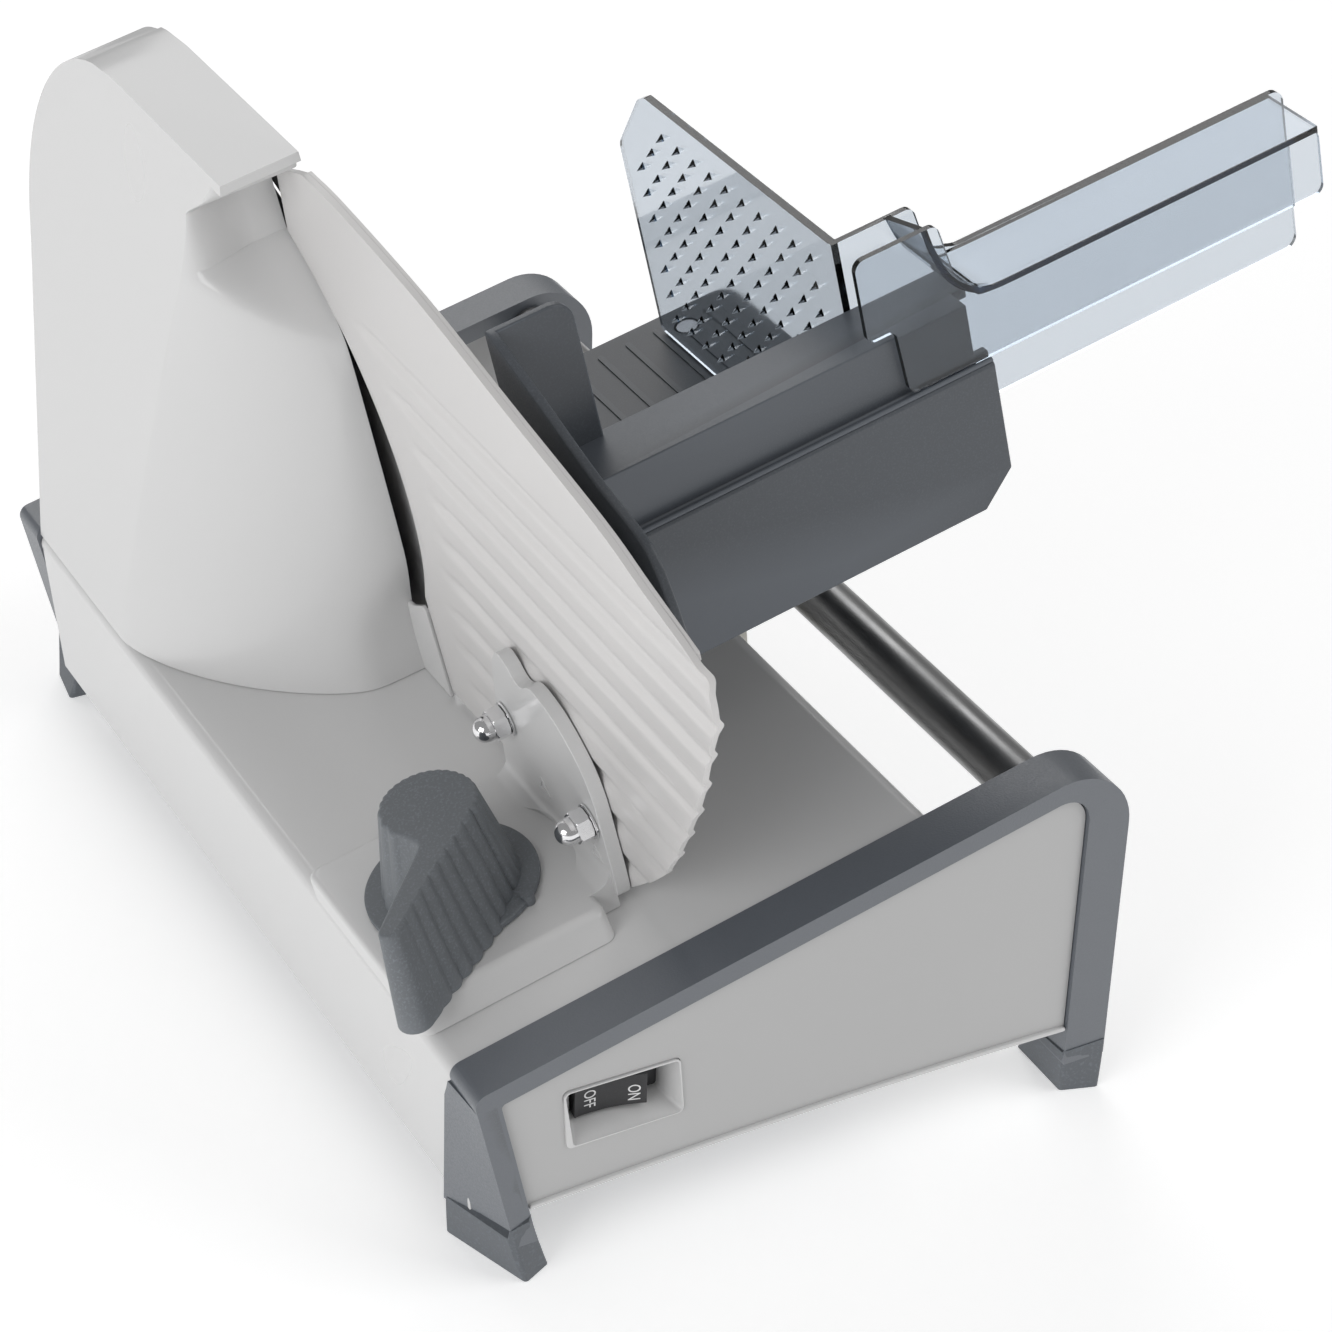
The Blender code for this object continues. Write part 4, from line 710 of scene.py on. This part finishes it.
# ---- blade --------------------------------------------------------------------------
def make_blade():
    disc = turned("round_blade", [(6.3, 0.0), (80.0, 0.0), (88.8, 0.7), (89.0, 0.85), (88.8, 1.0),
        (82.0, 1.5), (81.5, 1.75), (52.0, 1.75), (50.0, 1.2), (22.0, 1.2), (20.0, 1.5), (6.3, 1.5)],
        (79.0, BLADE_Y, BLADE_Z), ALONG_X, 160)
    finished(disc, BLADE_STEEL, "blade_assembly", ["blade"], 25)
    lock = turned("blade_lock_knob", [(0, 5.0), (12.0, 5.0), (13.6, 5.6), (15.6, 5.3), (16.8, 4.0),
        (16.8, 1.0), (16.2, 0.2), (0, 0.2)], (80.8, BLADE_Y, BLADE_Z), ALONG_X, 72)
    grip = plate("grip", rectangle(BLADE_Y - 12.8, BLADE_Z - 2.4, BLADE_Y + 12.8, BLADE_Z + 2.4, 2.3),
        84.5, 88.4, ALONG_X)
    join(lock, grip)
    finish_rounded(lock, 0.5, 3, BLACK, "blade_assembly", ["blade_lock"], angle=45)


# ---- switch -------------------------------------------------------------------------
ROCKER = (36.2, 49.0, 58.6, 60.0)
ROCKER_PIVOT, ROCKER_TILT = 8.5, math.radians(-8)


def make_switch():
    collar = plate("switch_collar", rounded([(30.2, 44.7, 2), (68.7, 44.7, 2), (66.8, 65.0, 2),
        (29.0, 65.4, 2)], 6), 1.0, 13.6, ALONG_Y, ROOM)
    front = rounded([(32.4, 45.2, 1.4), (68.3, 45.1, 1.4), (66.2, 64.4, 1.6), (29.5, 65.0, 1.6)], 6)
    back = rectangle(ROCKER[0] - 0.6, ROCKER[1] - 0.6, 65.2, ROCKER[3] + 0.6, 1.0)
    rings = [[(x, 0.0, z) for x, z in front], [(x, 1.6, z) for x, z in front],
        [(x, 10.4, z) for x, z in back], [(x, 15.0, z) for x, z in back]]
    cut(collar, loft("funnel", rings, ROOM))
    finish_rounded(collar, 0.3, 2, ENAMEL, "frame", ["switch_pocket"], angle=30)
    seat = plate("switch_seat", rectangle(ROCKER[0] - 1.0, ROCKER[1] - 1.0, 65.6, ROCKER[3] + 1.0, 1.0),
        12.4, 13.6, ALONG_Y, ROOM)
    finished(seat, BLACK, "frame")
    middle_x, half = (ROCKER[0] + ROCKER[2]) / 2, (ROCKER[2] - ROCKER[0]) / 2
    hollow = 1.3
    outline = [(-half, 3.5)]
    outline += [(half * (i / 6 - 1), -2.2 + hollow * (1 - (i / 6 - 1) ** 2)) for i in range(13)]
    outline += [(half, 3.5), (3, 4.2), (-3, 4.2)]

    def turn(x, y):
        return (middle_x + x * math.cos(ROCKER_TILT) - y * math.sin(ROCKER_TILT), ROCKER_PIVOT + x
            * math.sin(ROCKER_TILT) + y * math.cos(ROCKER_TILT))

    rocker = plate("rocker_button", [turn(x, y) for x, y in outline], ROCKER[1], ROCKER[3], FLAT, ROOM)
    finish_rounded(rocker, 0.35, 3, BLACK, "power_rocker", ["switch_rocker"], angle=35)
    for word, x, z in (("OFF", -6.4, 54.4), ("ON", 7.2, 53.4)):
        curve = bpy.data.curves.new("word_" + word, 'FONT')
        curve.body = word
        curve.size = 5.4 * MM
        curve.align_x, curve.align_y = 'CENTER', 'CENTER'
        curve.extrude = 0.05 * MM
        text = linked("word_" + word, curve)
        mesh = bpy.data.meshes.new_from_object(text)
        bpy.data.objects.remove(text, do_unlink=True)
        place = turn(x, -2.25 + hollow * (1 - (x / half) ** 2))
        slope = ROCKER_TILT - math.atan(2 * hollow * x / half ** 2)
        letters = linked("word_" + word, mesh)
        letters.matrix_world = (ROOM @ Matrix.Translation((place[0] * MM, place[1] * MM, z * MM))
            @ Matrix.Rotation(slope, 4, 'Z') @ Matrix.Rotation(math.pi / 2, 4, 'X')
            @ Matrix.Rotation(-math.pi / 2, 4, 'Z') @ Matrix.Diagonal((0.68, 1, 1, 1)))
        letters.data.materials.append(PRINT)
        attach(letters, "power_rocker")


# ---- gauge plate, bracket and platform ----------------------------------------------
GAUGE_TOP = [(-47.5, 150.6), (-25.3, 158.9), (-3.5, 167.3), (44.4, 178.3), (90.5, 189.2), (140.0, 195.6),
    (163.5, 196.2)]


def gauge_outline():
    """The gauge plate seen square on, from its lower edge round the nose to the blade."""
    nose = smooth_line([(46.8, 1.2), (20.3, 23.7), (2.5, 43.8), (-25.6, 83.1), (-42.5, 112.5),
        (-50.5, 126.0), (-54.0, 135.5), (-53.6, 144.0)] + GAUGE_TOP, 6)
    tail = rounded([(165.0, 196.0, 0), (170.2, 193.8, 2.0), (182.4, 188.9, 2.0), (193.4, 182.9, 1.0)],
        4)[1:]
    edge = arc(BLADE_Y, BLADE_Z, BLADE_CLEARANCE, 122.6, 208, 40)
    return nose + tail + edge + [(164.4, 40.0), (164.6, 1.2)]


FLUTE_TOP, FLUTE_PITCH = 147.5, 16.6


def flute_depth(y, z):
    """How far the sheet is pressed away from the slice side at a point."""
    phase = (FLUTE_TOP - z + 0.02 * (y - 60)) / FLUTE_PITCH
    if phase < -0.5:
        return 0.0
    wave = 0.5 + 0.5 * math.cos(2 * math.pi * phase)
    valley = wave ** 4
    rear = gauge_edge(z) - 17.0 - 6.0 * ease(z, 60, 110)
    fade = 1 - ease(y, rear - 14.0, rear)
    return 1.45 * valley * fade


def make_gauge():
    outline = gauge_outline()
    build = bmesh.new()
    build.faces.new([build.verts.new((0.0, y, z)) for y, z in outline])
    low_y, high_y, low_z, high_z = -56, 196, 1, 197
    for low, high, step, normal in ((low_z, high_z, 1.38, (0, 0, 1)), (low_y, high_y, 6.0, (0, 1, 0))):
        for i in range(int((high - low) / step) + 1):
            place = [part * (low + step * i) for part in normal]
            geometry = build.verts[:] + build.edges[:] + build.faces[:]
            bmesh.ops.bisect_plane(build, geom=geometry, plane_co=place, plane_no=normal)
    result = bmesh.ops.extrude_face_region(build, geom=build.faces[:])
    moved = {item for item in result["geom"] if isinstance(item, bmesh.types.BMVert)}
    for vert in build.verts:
        depth = flute_depth(vert.co.y, vert.co.z)
        vert.co.x = (75.65 if vert in moved else 77.55) + depth
    bmesh.ops.recalc_face_normals(build, faces=build.faces)
    rim = [edge for edge in build.edges
           if len(edge.link_faces) == 2 and edge.calc_face_angle(0) > math.radians(60)]
    bmesh.ops.bevel(build, geom=rim, offset=0.45, segments=3, affect='EDGES', profile=0.5,
        clamp_overlap=True)
    gauge = new_object("fluted_gauge_plate", build, DECK)
    finished(gauge, GAUGE, "gauge", ["gauge_plate"], 45)
    gauge.modifiers.clear()
    edge_strip = smooth_line(GAUGE_TOP, 6)
    lower = [(y, z - 3.0) for y, z in reversed(edge_strip)]
    strip = plate("gauge_top_rim", edge_strip + lower, 77.5, 78.9, ALONG_X)
    finish_rounded(strip, 0.35, 2, GAUGE, "gauge")


NUTS = {"upper": (100.3, 35.1), "lower": (49.0, 29.7)}


def make_bracket():
    outline = smooth_line([(46.0, 1.2), (42.6, 5.0), (42.0, 15.0), (42.2, 30.0), (42.4, 39.0),
        (44.0, 46.0), (47.0, 52.0), (52.0, 57.5), (58.0, 61.8), (64.0, 64.0), (70.0, 65.0), (74.5, 63.8),
        (78.5, 61.0), (82.0, 60.0), (85.0, 61.2), (87.5, 63.6), (92.0, 65.2), (96.5, 62.5),
        (101.0, 55.0), (105.5, 42.0), (110.0, 25.0), (114.0, 9.0), (116.0, 1.2)], 4)
    bracket = plate("gauge_bracket_plate", outline, BRACKET_FACE, 75.3, ALONG_X)
    for y, z in NUTS.values():
        cut(bracket, rod("hole", (60, y, z), ALONG_X, 2.7, 30))
    finish_rounded(bracket, 1.5, 4, ENAMEL, "gauge", ["gauge_bracket"])
    for name, (y, z) in (("lower", (51.5, 15.5)), ("upper", (83.5, 19.5))):
        size = 4.2
        triangle = [(y - size, z - size * 0.7, 0.8), (y + size, z - size * 0.7, 0.8), (y, z + size, 0.8)]
        mark = plate("raised_mark_" + name, rounded(triangle, 4), 70.5, 71.2, ALONG_X)
        inner = [(y - size * 0.55, z - size * 0.42, 0.3), (y + size * 0.55, z - size * 0.42, 0.3),
            (y, z + size * 0.5, 0.3)]
        cut(mark, plate("hole", rounded(inner, 3), 70, 72, ALONG_X))
        finish_rounded(mark, 0.15, 2, ENAMEL, "gauge")


def make_nut(name, y, z):
    washer = turned(name + "_flat_washer", [(2.7, 0.0), (5.4, 0.0), (5.7, 0.25), (5.7, 0.75),
        (5.4, 0.95), (2.7, 0.95)], (BRACKET_FACE - 1.0, y, z), ALONG_X, 48)
    finished(washer, CHROME, "gauge", [name + "_washer"])
    start = BRACKET_FACE - 1.2
    hexagon = plate(name + "_cap_nut", arc(y, z, 5.45, 12, 312, 6), start - 4.6, start, ALONG_X)
    cone = turned("cone", [(0, -0.2), (4.75, -0.2), (6.2, 1.2), (6.2, 3.4), (4.75, 4.8), (0, 4.8)],
        (start - 4.6, y, z), ALONG_X, 48)
    combine(hexagon, [cone], 'INTERSECT')
    dome = [(0, -10.3)] + [(4.15 * math.sin(math.radians(a)), -6.1 - 4.2 * math.cos(math.radians(a)))
        for a in range(12, 91, 13)]
    dome += [(4.15, -3.5), (0, -3.5)]
    join(hexagon, turned("dome", dome, (start, y, z), ALONG_X, 48),
        rod("shank", (start - 1, y, z), ALONG_X, 2.4, 7.3, 24))
    finish_rounded(hexagon, 0.18, 2, CHROME, "gauge", [name + "_acorn_nut"], angle=35)


def make_platform():
    """The slide under the knob, swept up by a hollow fillet into the gauge bracket."""
    rings = []
    round_top = 2.2
    stages = [(-1.7, 0.0, 0.0), (1.0, 1.3, 0.0), (PLATFORM_TOP - round_top, 3.3, 0.0)]
    for a in range(15, 91, 15):
        turn = math.radians(a)
        stages.append((PLATFORM_TOP - round_top * (1 - math.sin(turn)), 3.3 + math.sin(turn), round_top
            * (1 - math.cos(turn))))
    for z, lean, inset in stages:
        ring = rectangle(0.4 + inset, 33.2 + lean + inset, 64.5 - inset, 112.0 - inset, 3.5, 8)
        rings.append([(x, y, z) for x, y in ring])
    platform = loft("sliding_platform", rings)
    radius, face = 6.0, BRACKET_FACE
    sweep = arc(face - radius, PLATFORM_TOP + radius, radius, -90, 0, 14)
    section = [(60.0, -1.7), (60.0, PLATFORM_TOP)] + sweep
    section += [(face + 0.6, PLATFORM_TOP + radius), (face + 0.6, -1.7)]
    join(platform, plate("fillet", section, 44.5, 111.5, ALONG_Y))
    path = rectangle(KNOB_X - 10, KNOB_Y - DIAL_RADIUS - 0.6, KNOB_X + 9.6 + DIAL_RADIUS + 0.6, KNOB_Y
        + DIAL_RADIUS + 0.6, DIAL_RADIUS + 0.6, 24)
    cut(platform, plate("dial_path", path, PLATFORM_TOP, PLATFORM_TOP + 20, FLAT))
    slot = rectangle(KNOB_X - 6.8, KNOB_Y - 4.4, KNOB_X + 14.2, KNOB_Y + 4.4, 4.2)
    cut(platform, plate("slot", slot, -5, 12, FLAT))
    finished(platform, ENAMEL, "gauge", ["slide_platform"], 50)


# ---- knob ---------------------------------------------------------------------------
KNOB_LOW, KNOB_TOP, KNOB_HEADING = 8.0, 41.3, math.radians(218.5)
RIBS, SCALLOP_PITCH = 9, 3.4


def between(low, high, share):
    return low + (high - low) * share


def knob_outline(share):
    """(point, rib depth) pairs round the pointer knob at a share of its height.

    The knob is a disc with a bar along +x whose long side is ribbed."""
    radius = between(21.5, 14.9, share)
    shoulder = Vector((between(13.7, 2.0, share), between(23.0, 14.95, share)))
    end_x = between(53.5, 51.0, share)
    high_y, low_y = between(18.9, 14.9, share), between(7.7, 8.7, share)
    middle_y, half = (high_y + low_y) / 2, (high_y - low_y) / 2
    samples = []
    stretch = [Vector((0.0, radius)), shoulder, Vector((end_x, high_y))]
    lengths = [(b - a).length for a, b in zip(stretch, stretch[1:])]
    total, count = sum(lengths), 150
    for i in range(count):
        along = total * i / count
        leg = 0 if along < lengths[0] else 1
        part = (along - lengths[0] * leg) / lengths[leg]
        point = stretch[leg].lerp(stretch[leg + 1], part)
        fade = ease(total - along, 0.0, 14.0)
        groove = 1 - abs(math.sin(math.pi * RIBS * i / count))
        samples.append((point, 1.0 * groove * fade))
    for x, y in arc(end_x, middle_y, half, 90, -90, 20)[1:-1]:
        samples.append((Vector((x, y)), 0.0))
    notch = [(end_x, low_y), (between(40.0, 36.0, share), between(5.8, 7.1, share)),
        (between(26.0, 19.5, share), between(4.0, 5.5, share)),
        (between(22.6, 16.3, share), between(2.4, 4.2, share)),
        (radius + 0.05, between(-1.0, 1.2, share))]
    for point in smooth_line(notch, 8):
        samples.append((Vector(point), 0.0))
    start, finish = -10.0, -270.0
    count = 150
    for i in range(1, count):
        angle = start + (finish - start) * i / count
        turn = math.radians(angle)
        arc_length = math.radians(start - angle) * 18.0
        if angle > -75:
            wave = 0.7 * (1 - abs(math.sin(math.pi * arc_length / 6.8)))
        else:
            wave = 0.45 * (1 - abs(math.sin(math.pi * arc_length / SCALLOP_PITCH)))
        samples.append((Vector((radius * math.cos(turn), radius * math.sin(turn))), wave))
    return samples


def knob_ring(height, inset):
    samples = knob_outline((height - KNOB_LOW) / (KNOB_TOP - KNOB_LOW))
    ring = []
    for index, (point, rib) in enumerate(samples):
        step = 3
        ahead = samples[(index + step) % len(samples)][0]
        along = (ahead - samples[index - step][0]).normalized()
        inward = Vector((along.y, -along.x))
        place = point + inward * (rib * (1 - inset / 3) + inset)
        ring.append((place.x, place.y, height))
    return ring


def make_knob():
    rim = 1.2
    stages = [(between(KNOB_LOW, KNOB_TOP - rim, i / 5), 0.0) for i in range(6)]
    for a in (30, 60, 90):
        turn = math.radians(a)
        stages.append((KNOB_TOP - rim * (1 - math.sin(turn)), rim * (1 - math.cos(turn))))
    turn = Matrix.Translation((KNOB_X * MM, KNOB_Y * MM, 0)) @ Matrix.Rotation(KNOB_HEADING, 4, 'Z')
    knob = loft("pointer_knob", [knob_ring(*stage) for stage in stages], DECK @ turn)
    finished(knob, KNOB, "thickness_control", ["thickness_knob"], 38)
    low = PLATFORM_TOP + 0.1
    dial = turned("dial_ring", [(0, low), (26.0, low), (DIAL_RADIUS, low + 0.5),
        (DIAL_RADIUS, low + 2.0), (25.9, low + 2.5), (0, low + 2.5)], (KNOB_X, KNOB_Y, 0), FLAT, 96)
    x = KNOB_X + 25.8 * math.cos(math.radians(305))
    y = KNOB_Y + 25.8 * math.sin(math.radians(305))
    join(dial, rod("nub", (x, y, low), FLAT, 2.0, 3.4, 20))
    finish_rounded(dial, 0.3, 2, KNOB, "thickness_control", ["thickness_dial"], angle=50)


# ---- carriage -----------------------------------------------------------------------
FLANGE_X, CARRIAGE_END, CARRIAGE_DECK = 86.0, 224.0, 56.7


def make_carriage():
    wall_back, wall_front = 73.7, 70.8
    section = [(wall_back, 53.5), (wall_back, 136.0), (52.3, 136.0), (52.3, 116.1), (51.5, 115.5),
        (49.3, 115.5), (48.5, 114.7), (48.5, 67.1), (51.5, 67.1), (51.5, 112.4), (55.3, 112.9),
        (55.3, 132.5), (wall_front, 132.5), (wall_front, 53.5)]
    wall = plate("carriage_moulding", section, FLANGE_X + 2.6, CARRIAGE_END, ALONG_X)
    tab = rounded([(FLANGE_X + 1.0, 120.0), (111.5, 120.0), (111.5, 182.8, 7.0),
        (FLANGE_X + 1.0, 182.8)], 10)
    flange = [(wall_back, 53.5), (wall_back, 182.8)]
    flange += smooth_line([(70.0, 182.9), (50.0, 175.4), (19.3, 163.4), (-2.5, 157.6), (-9.5, 152.0),
        (-13.2, 143.5), (-16.2, 132.5), (-16.6, 124.0), (-14.0, 113.0), (-6.0, 100.0), (6.0, 85.0),
        (22.0, 68.0), (36.0, 57.5)], 6)
    flange += [(44.0, 53.5)]
    back = plate("carriage_tab", tab, wall_front, wall_back, ALONG_Y)
    finish_rounded(back, 0.75, 3, CARRIAGE, "carriage", angle=35)
    side = plate("carriage_flange", flange, FLANGE_X, FLANGE_X + 2.8, ALONG_X)
    finish_rounded(side, 0.75, 3, CARRIAGE, "carriage", angle=35)
    chamfer = [(CARRIAGE_END - 11.5, 66.0), (CARRIAGE_END + 2, 66.0), (CARRIAGE_END + 2, 79.5)]
    shoulder = [(CARRIAGE_END - 4.6, 118.0), (CARRIAGE_END + 2, 118.0), (CARRIAGE_END + 2, 140.0),
        (CARRIAGE_END - 4.6, 140.0)]
    cut(wall, plate("chamfer", chamfer, 40, 60, ALONG_Y), plate("shoulder", shoulder, 40, 60, ALONG_Y))
    finish_rounded(wall, 0.75, 3, CARRIAGE, "carriage", ["carriage_wall"], angle=35)
    bead = turned("apron_bead", [(0, 0), (0.75, 0.3), (0.75, 134.8), (0, 135.1)],
        (FLANGE_X + 2.9, 49.6, 116.0), ALONG_X, 16)
    finished(bead, CARRIAGE, "carriage")
    deck = plate("food_deck", rounded([(FLANGE_X, 74.0, 0.5), (CARRIAGE_END, 74.0, 0.5),
        (CARRIAGE_END, 222.0, 7.0), (FLANGE_X, 222.0, 3.0)], 8), CARRIAGE_DECK - 3.2, CARRIAGE_DECK, FLAT)
    ribs = []
    for i in range(12):
        x = FLANGE_X + 10 + 10.4 * i
        ribs.append(plate("rib", rectangle(x, 80, x + 2.0, 216, 0.9), CARRIAGE_DECK - 0.5, CARRIAGE_DECK
            + 0.5, FLAT))
    join(deck, *ribs)
    holes = [rod("hole", (201.9, y, 50), FLAT, 4.3, 12) for y in DECK_SCREWS_Y]
    cut(deck, *holes)
    finish_rounded(deck, 0.3, 2, CARRIAGE, "carriage", ["carriage_deck"])
    arm = block("arm_block", (181.4, 160.0, -26.8), (209.4, 222.0, 53.2))
    cut(arm, rod("bore", (RAIL_X, 130, RAIL_Z), ALONG_Y, 11.2, 110, 64),
        plate("window", rectangle(182, 8.7, 200, 41.2, 4.0), 170, 220, ALONG_X))
    finish_rounded(arm, 2.0, 4, CARRIAGE, "carriage", ["carriage_arm"])


# ---- pusher -------------------------------------------------------------------------
PUSHER_X = 192.4


def make_pusher():
    plate_outline = rounded([(75.0, 57.6, 0), (214.0, 57.6, 2.0), (213.7, 129.5, 8.0),
        (191.5, 155.0, 7.0), (186.0, 157.9, 4.0), (75.0, 157.9, 0)], 8)
    pusher = plate("clear_pusher", plate_outline, PUSHER_X, PUSHER_X + 2.6, ALONG_X)
    rear = rounded([(PUSHER_X, 83.7, 2.0), (346.0, 83.7, 4.0), (346.0, 139.4, 4.0), (231.0, 139.4, 9.0),
        (222.0, 143.0, 6.0), (219.5, 158.3, 3.0), (PUSHER_X, 158.3)], 8)
    front = rounded([(186.5, 139.5, 2.5), (195.5, 139.5, 2.0), (196.7, 116.8, 3.5), (341.0, 116.8, 3.0),
        (341.0, 139.4, 4.0), (226.0, 139.4, 10.0), (217.0, 146.0, 10.0), (213.7, 166.7, 3.0),
        (186.5, 166.7, 3.5)], 8)
    top_line = smooth_line([(211.0, 166.0), (212.6, 158.0), (216.5, 147.5), (223.0, 141.0),
        (231.0, 139.4), (280.0, 139.4), (341.0, 139.4)], 6)
    under = [(x - 2.0 * (1 - ease(x, 214, 232)), z - 2.6 * ease(x, 208, 232)) for x,
        z in reversed(top_line)]
    top = plate("top", top_line + under, 50.4, 76.0, ALONG_Y)
    cut(top, plate("slope", [(80.0, 156.9), (48.0, 167.4), (48.0, 180.0), (80.0, 180.0)], 195, 240,
        ALONG_X))
    join(pusher, plate("rear", rear, 74.3, 76.4, ALONG_Y), plate("front", front, 49.9, 51.9, ALONG_Y),
        top)
    round_edges(pusher, 0.7, 3, 40)
    spikes = bmesh.new()
    half_y, half_z, length = 1.05, 1.2, 2.6
    for row in range(10):
        z = 147.5 - 9.64 * row
        for column in range(13):
            y = 89.0 + 9.93 * column
            if y > 206 - max(0.0, z - 120) * 0.9 or z < 62:
                continue
            corners = [spikes.verts.new((PUSHER_X + 0.3, y + a * half_y, z + b * half_z)) for a,
                b in ((-1, -1), (1, -1), (0.25, 1), (-0.25, 1))]
            tip = spikes.verts.new((PUSHER_X - length, y, z - 1.1))
            spikes.faces.new(corners)
            for i in range(4):
                spikes.faces.new((corners[i], corners[(i + 1) % 4], tip))
    join(pusher, new_object("spikes", spikes, DECK))
    finished(pusher, CLEAR, "pusher", ["food_pusher"], 30)


# ---- carried-over CAD nodes ----------------------------------------------------------
CARRIED = {"bottom_cover": TRIM, "guide_bar": STEEL, "guide_shoe": NYLON, "switch_body": BLACK,
    "gear_case": BLACK, "motor_case": ZINC, "inner_bush": BRONZE, "outer_bush": BRONZE,
    "power_inlet": BLACK, "blade_arbor": STEEL, "worm_wheel": NYLON, "motor_shaft": STEEL,
    "cooling_fan": BLACK, "front_rail_bush": NYLON, "rear_rail_bush": NYLON, "cam_follower_pin": STEEL,
    "knob_shaft": STEEL, "thickness_cam": NYLON}


def dress_carried_nodes():
    for name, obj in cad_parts.items():
        if obj.hide_render:
            continue
        material = CARRIED.get(name, ZINC)
        obj.data.materials.clear()
        obj.data.materials.append(material)


# ---- stage --------------------------------------------------------------------------
def make_stage():
    build = bmesh.new()
    bmesh.ops.create_grid(build, x_segments=1, y_segments=1, size=6000.0)
    floor = new_object("floor", build, Matrix.Identity(4))
    nodes = Nodes("white_floor")
    nodes.drive("Base Color", nodes.tint(nodes.noise(3.0), (0.93,) * 3, (0.95,) * 3))
    nodes.set(Roughness=0.7, Specular_IOR_Level=0.1, Emission_Color=(1, 1, 1, 1), Emission_Strength=0.38)
    floor.data.materials.append(nodes.material)


def make_light(name, place, target, size, power, size_y=None):
    light = bpy.data.lights.new(name, 'AREA')
    light.shape = 'RECTANGLE'
    light.size = size
    light.size_y = size_y or size
    light.energy = power
    lamp = linked(name, light)
    lamp.location = place
    direction = Vector(target) - Vector(place)
    lamp.rotation_euler = direction.to_track_quat('-Z', 'Y').to_euler()


def make_lights():
    world = bpy.data.worlds.new("studio")
    world.use_nodes = True
    background = world.node_tree.nodes["Background"]
    background.inputs["Color"].default_value = (1.0, 1.0, 1.0, 1)
    background.inputs["Strength"].default_value = 0.32
    bpy.context.scene.world = world
    make_light("key_box", (-1.6, -0.7, 0.75), (0, 0, 0.12), 1.2, 12.0, 0.9)
    make_light("fill_box", (1.1, -1.1, 1.4), (0, -0.05, 0.1), 1.2, 10.0)
    make_light("back_box", (0.2, 1.4, 1.3), (0, 0, 0.15), 1.5, 9.0, 1.0)


def make_camera():
    camera = bpy.data.cameras.new("camera")
    camera.lens = 100.77
    camera.sensor_width = 36.0
    camera.clip_start = 0.05
    obj = linked("camera", camera)
    right = Vector((0.878, -0.477, 0.026))
    up = Vector((0.239, 0.486, 0.841))
    back = right.cross(up).normalized()
    right = up.cross(back).normalized()
    place = ROOM @ Vector((-354.2 * MM, -728.1 * MM, (666.2 + RIDGE_HEIGHT) * MM))
    turn = Matrix((right, up.normalized(), back)).transposed().to_4x4()
    obj.matrix_world = Matrix.Translation(place) @ turn
    bpy.context.scene.camera = obj


def main():
    make_camera()
    for rear in (False, True):
        make_trim(rear)
        make_panel(rear)
        for low_side in (True, False):
            make_foot(rear, low_side)
    make_tray()
    make_rail()
    make_housing()
    make_guard()
    make_blade()
    make_switch()
    make_gauge()
    make_bracket()
    for name, (y, z) in NUTS.items():
        make_nut(name, y, z)
    make_platform()
    make_knob()
    make_carriage()
    make_pusher()
    dress_carried_nodes()
    make_stage()
    make_lights()
    bpy.context.scene.view_settings.view_transform = 'Standard'


main()
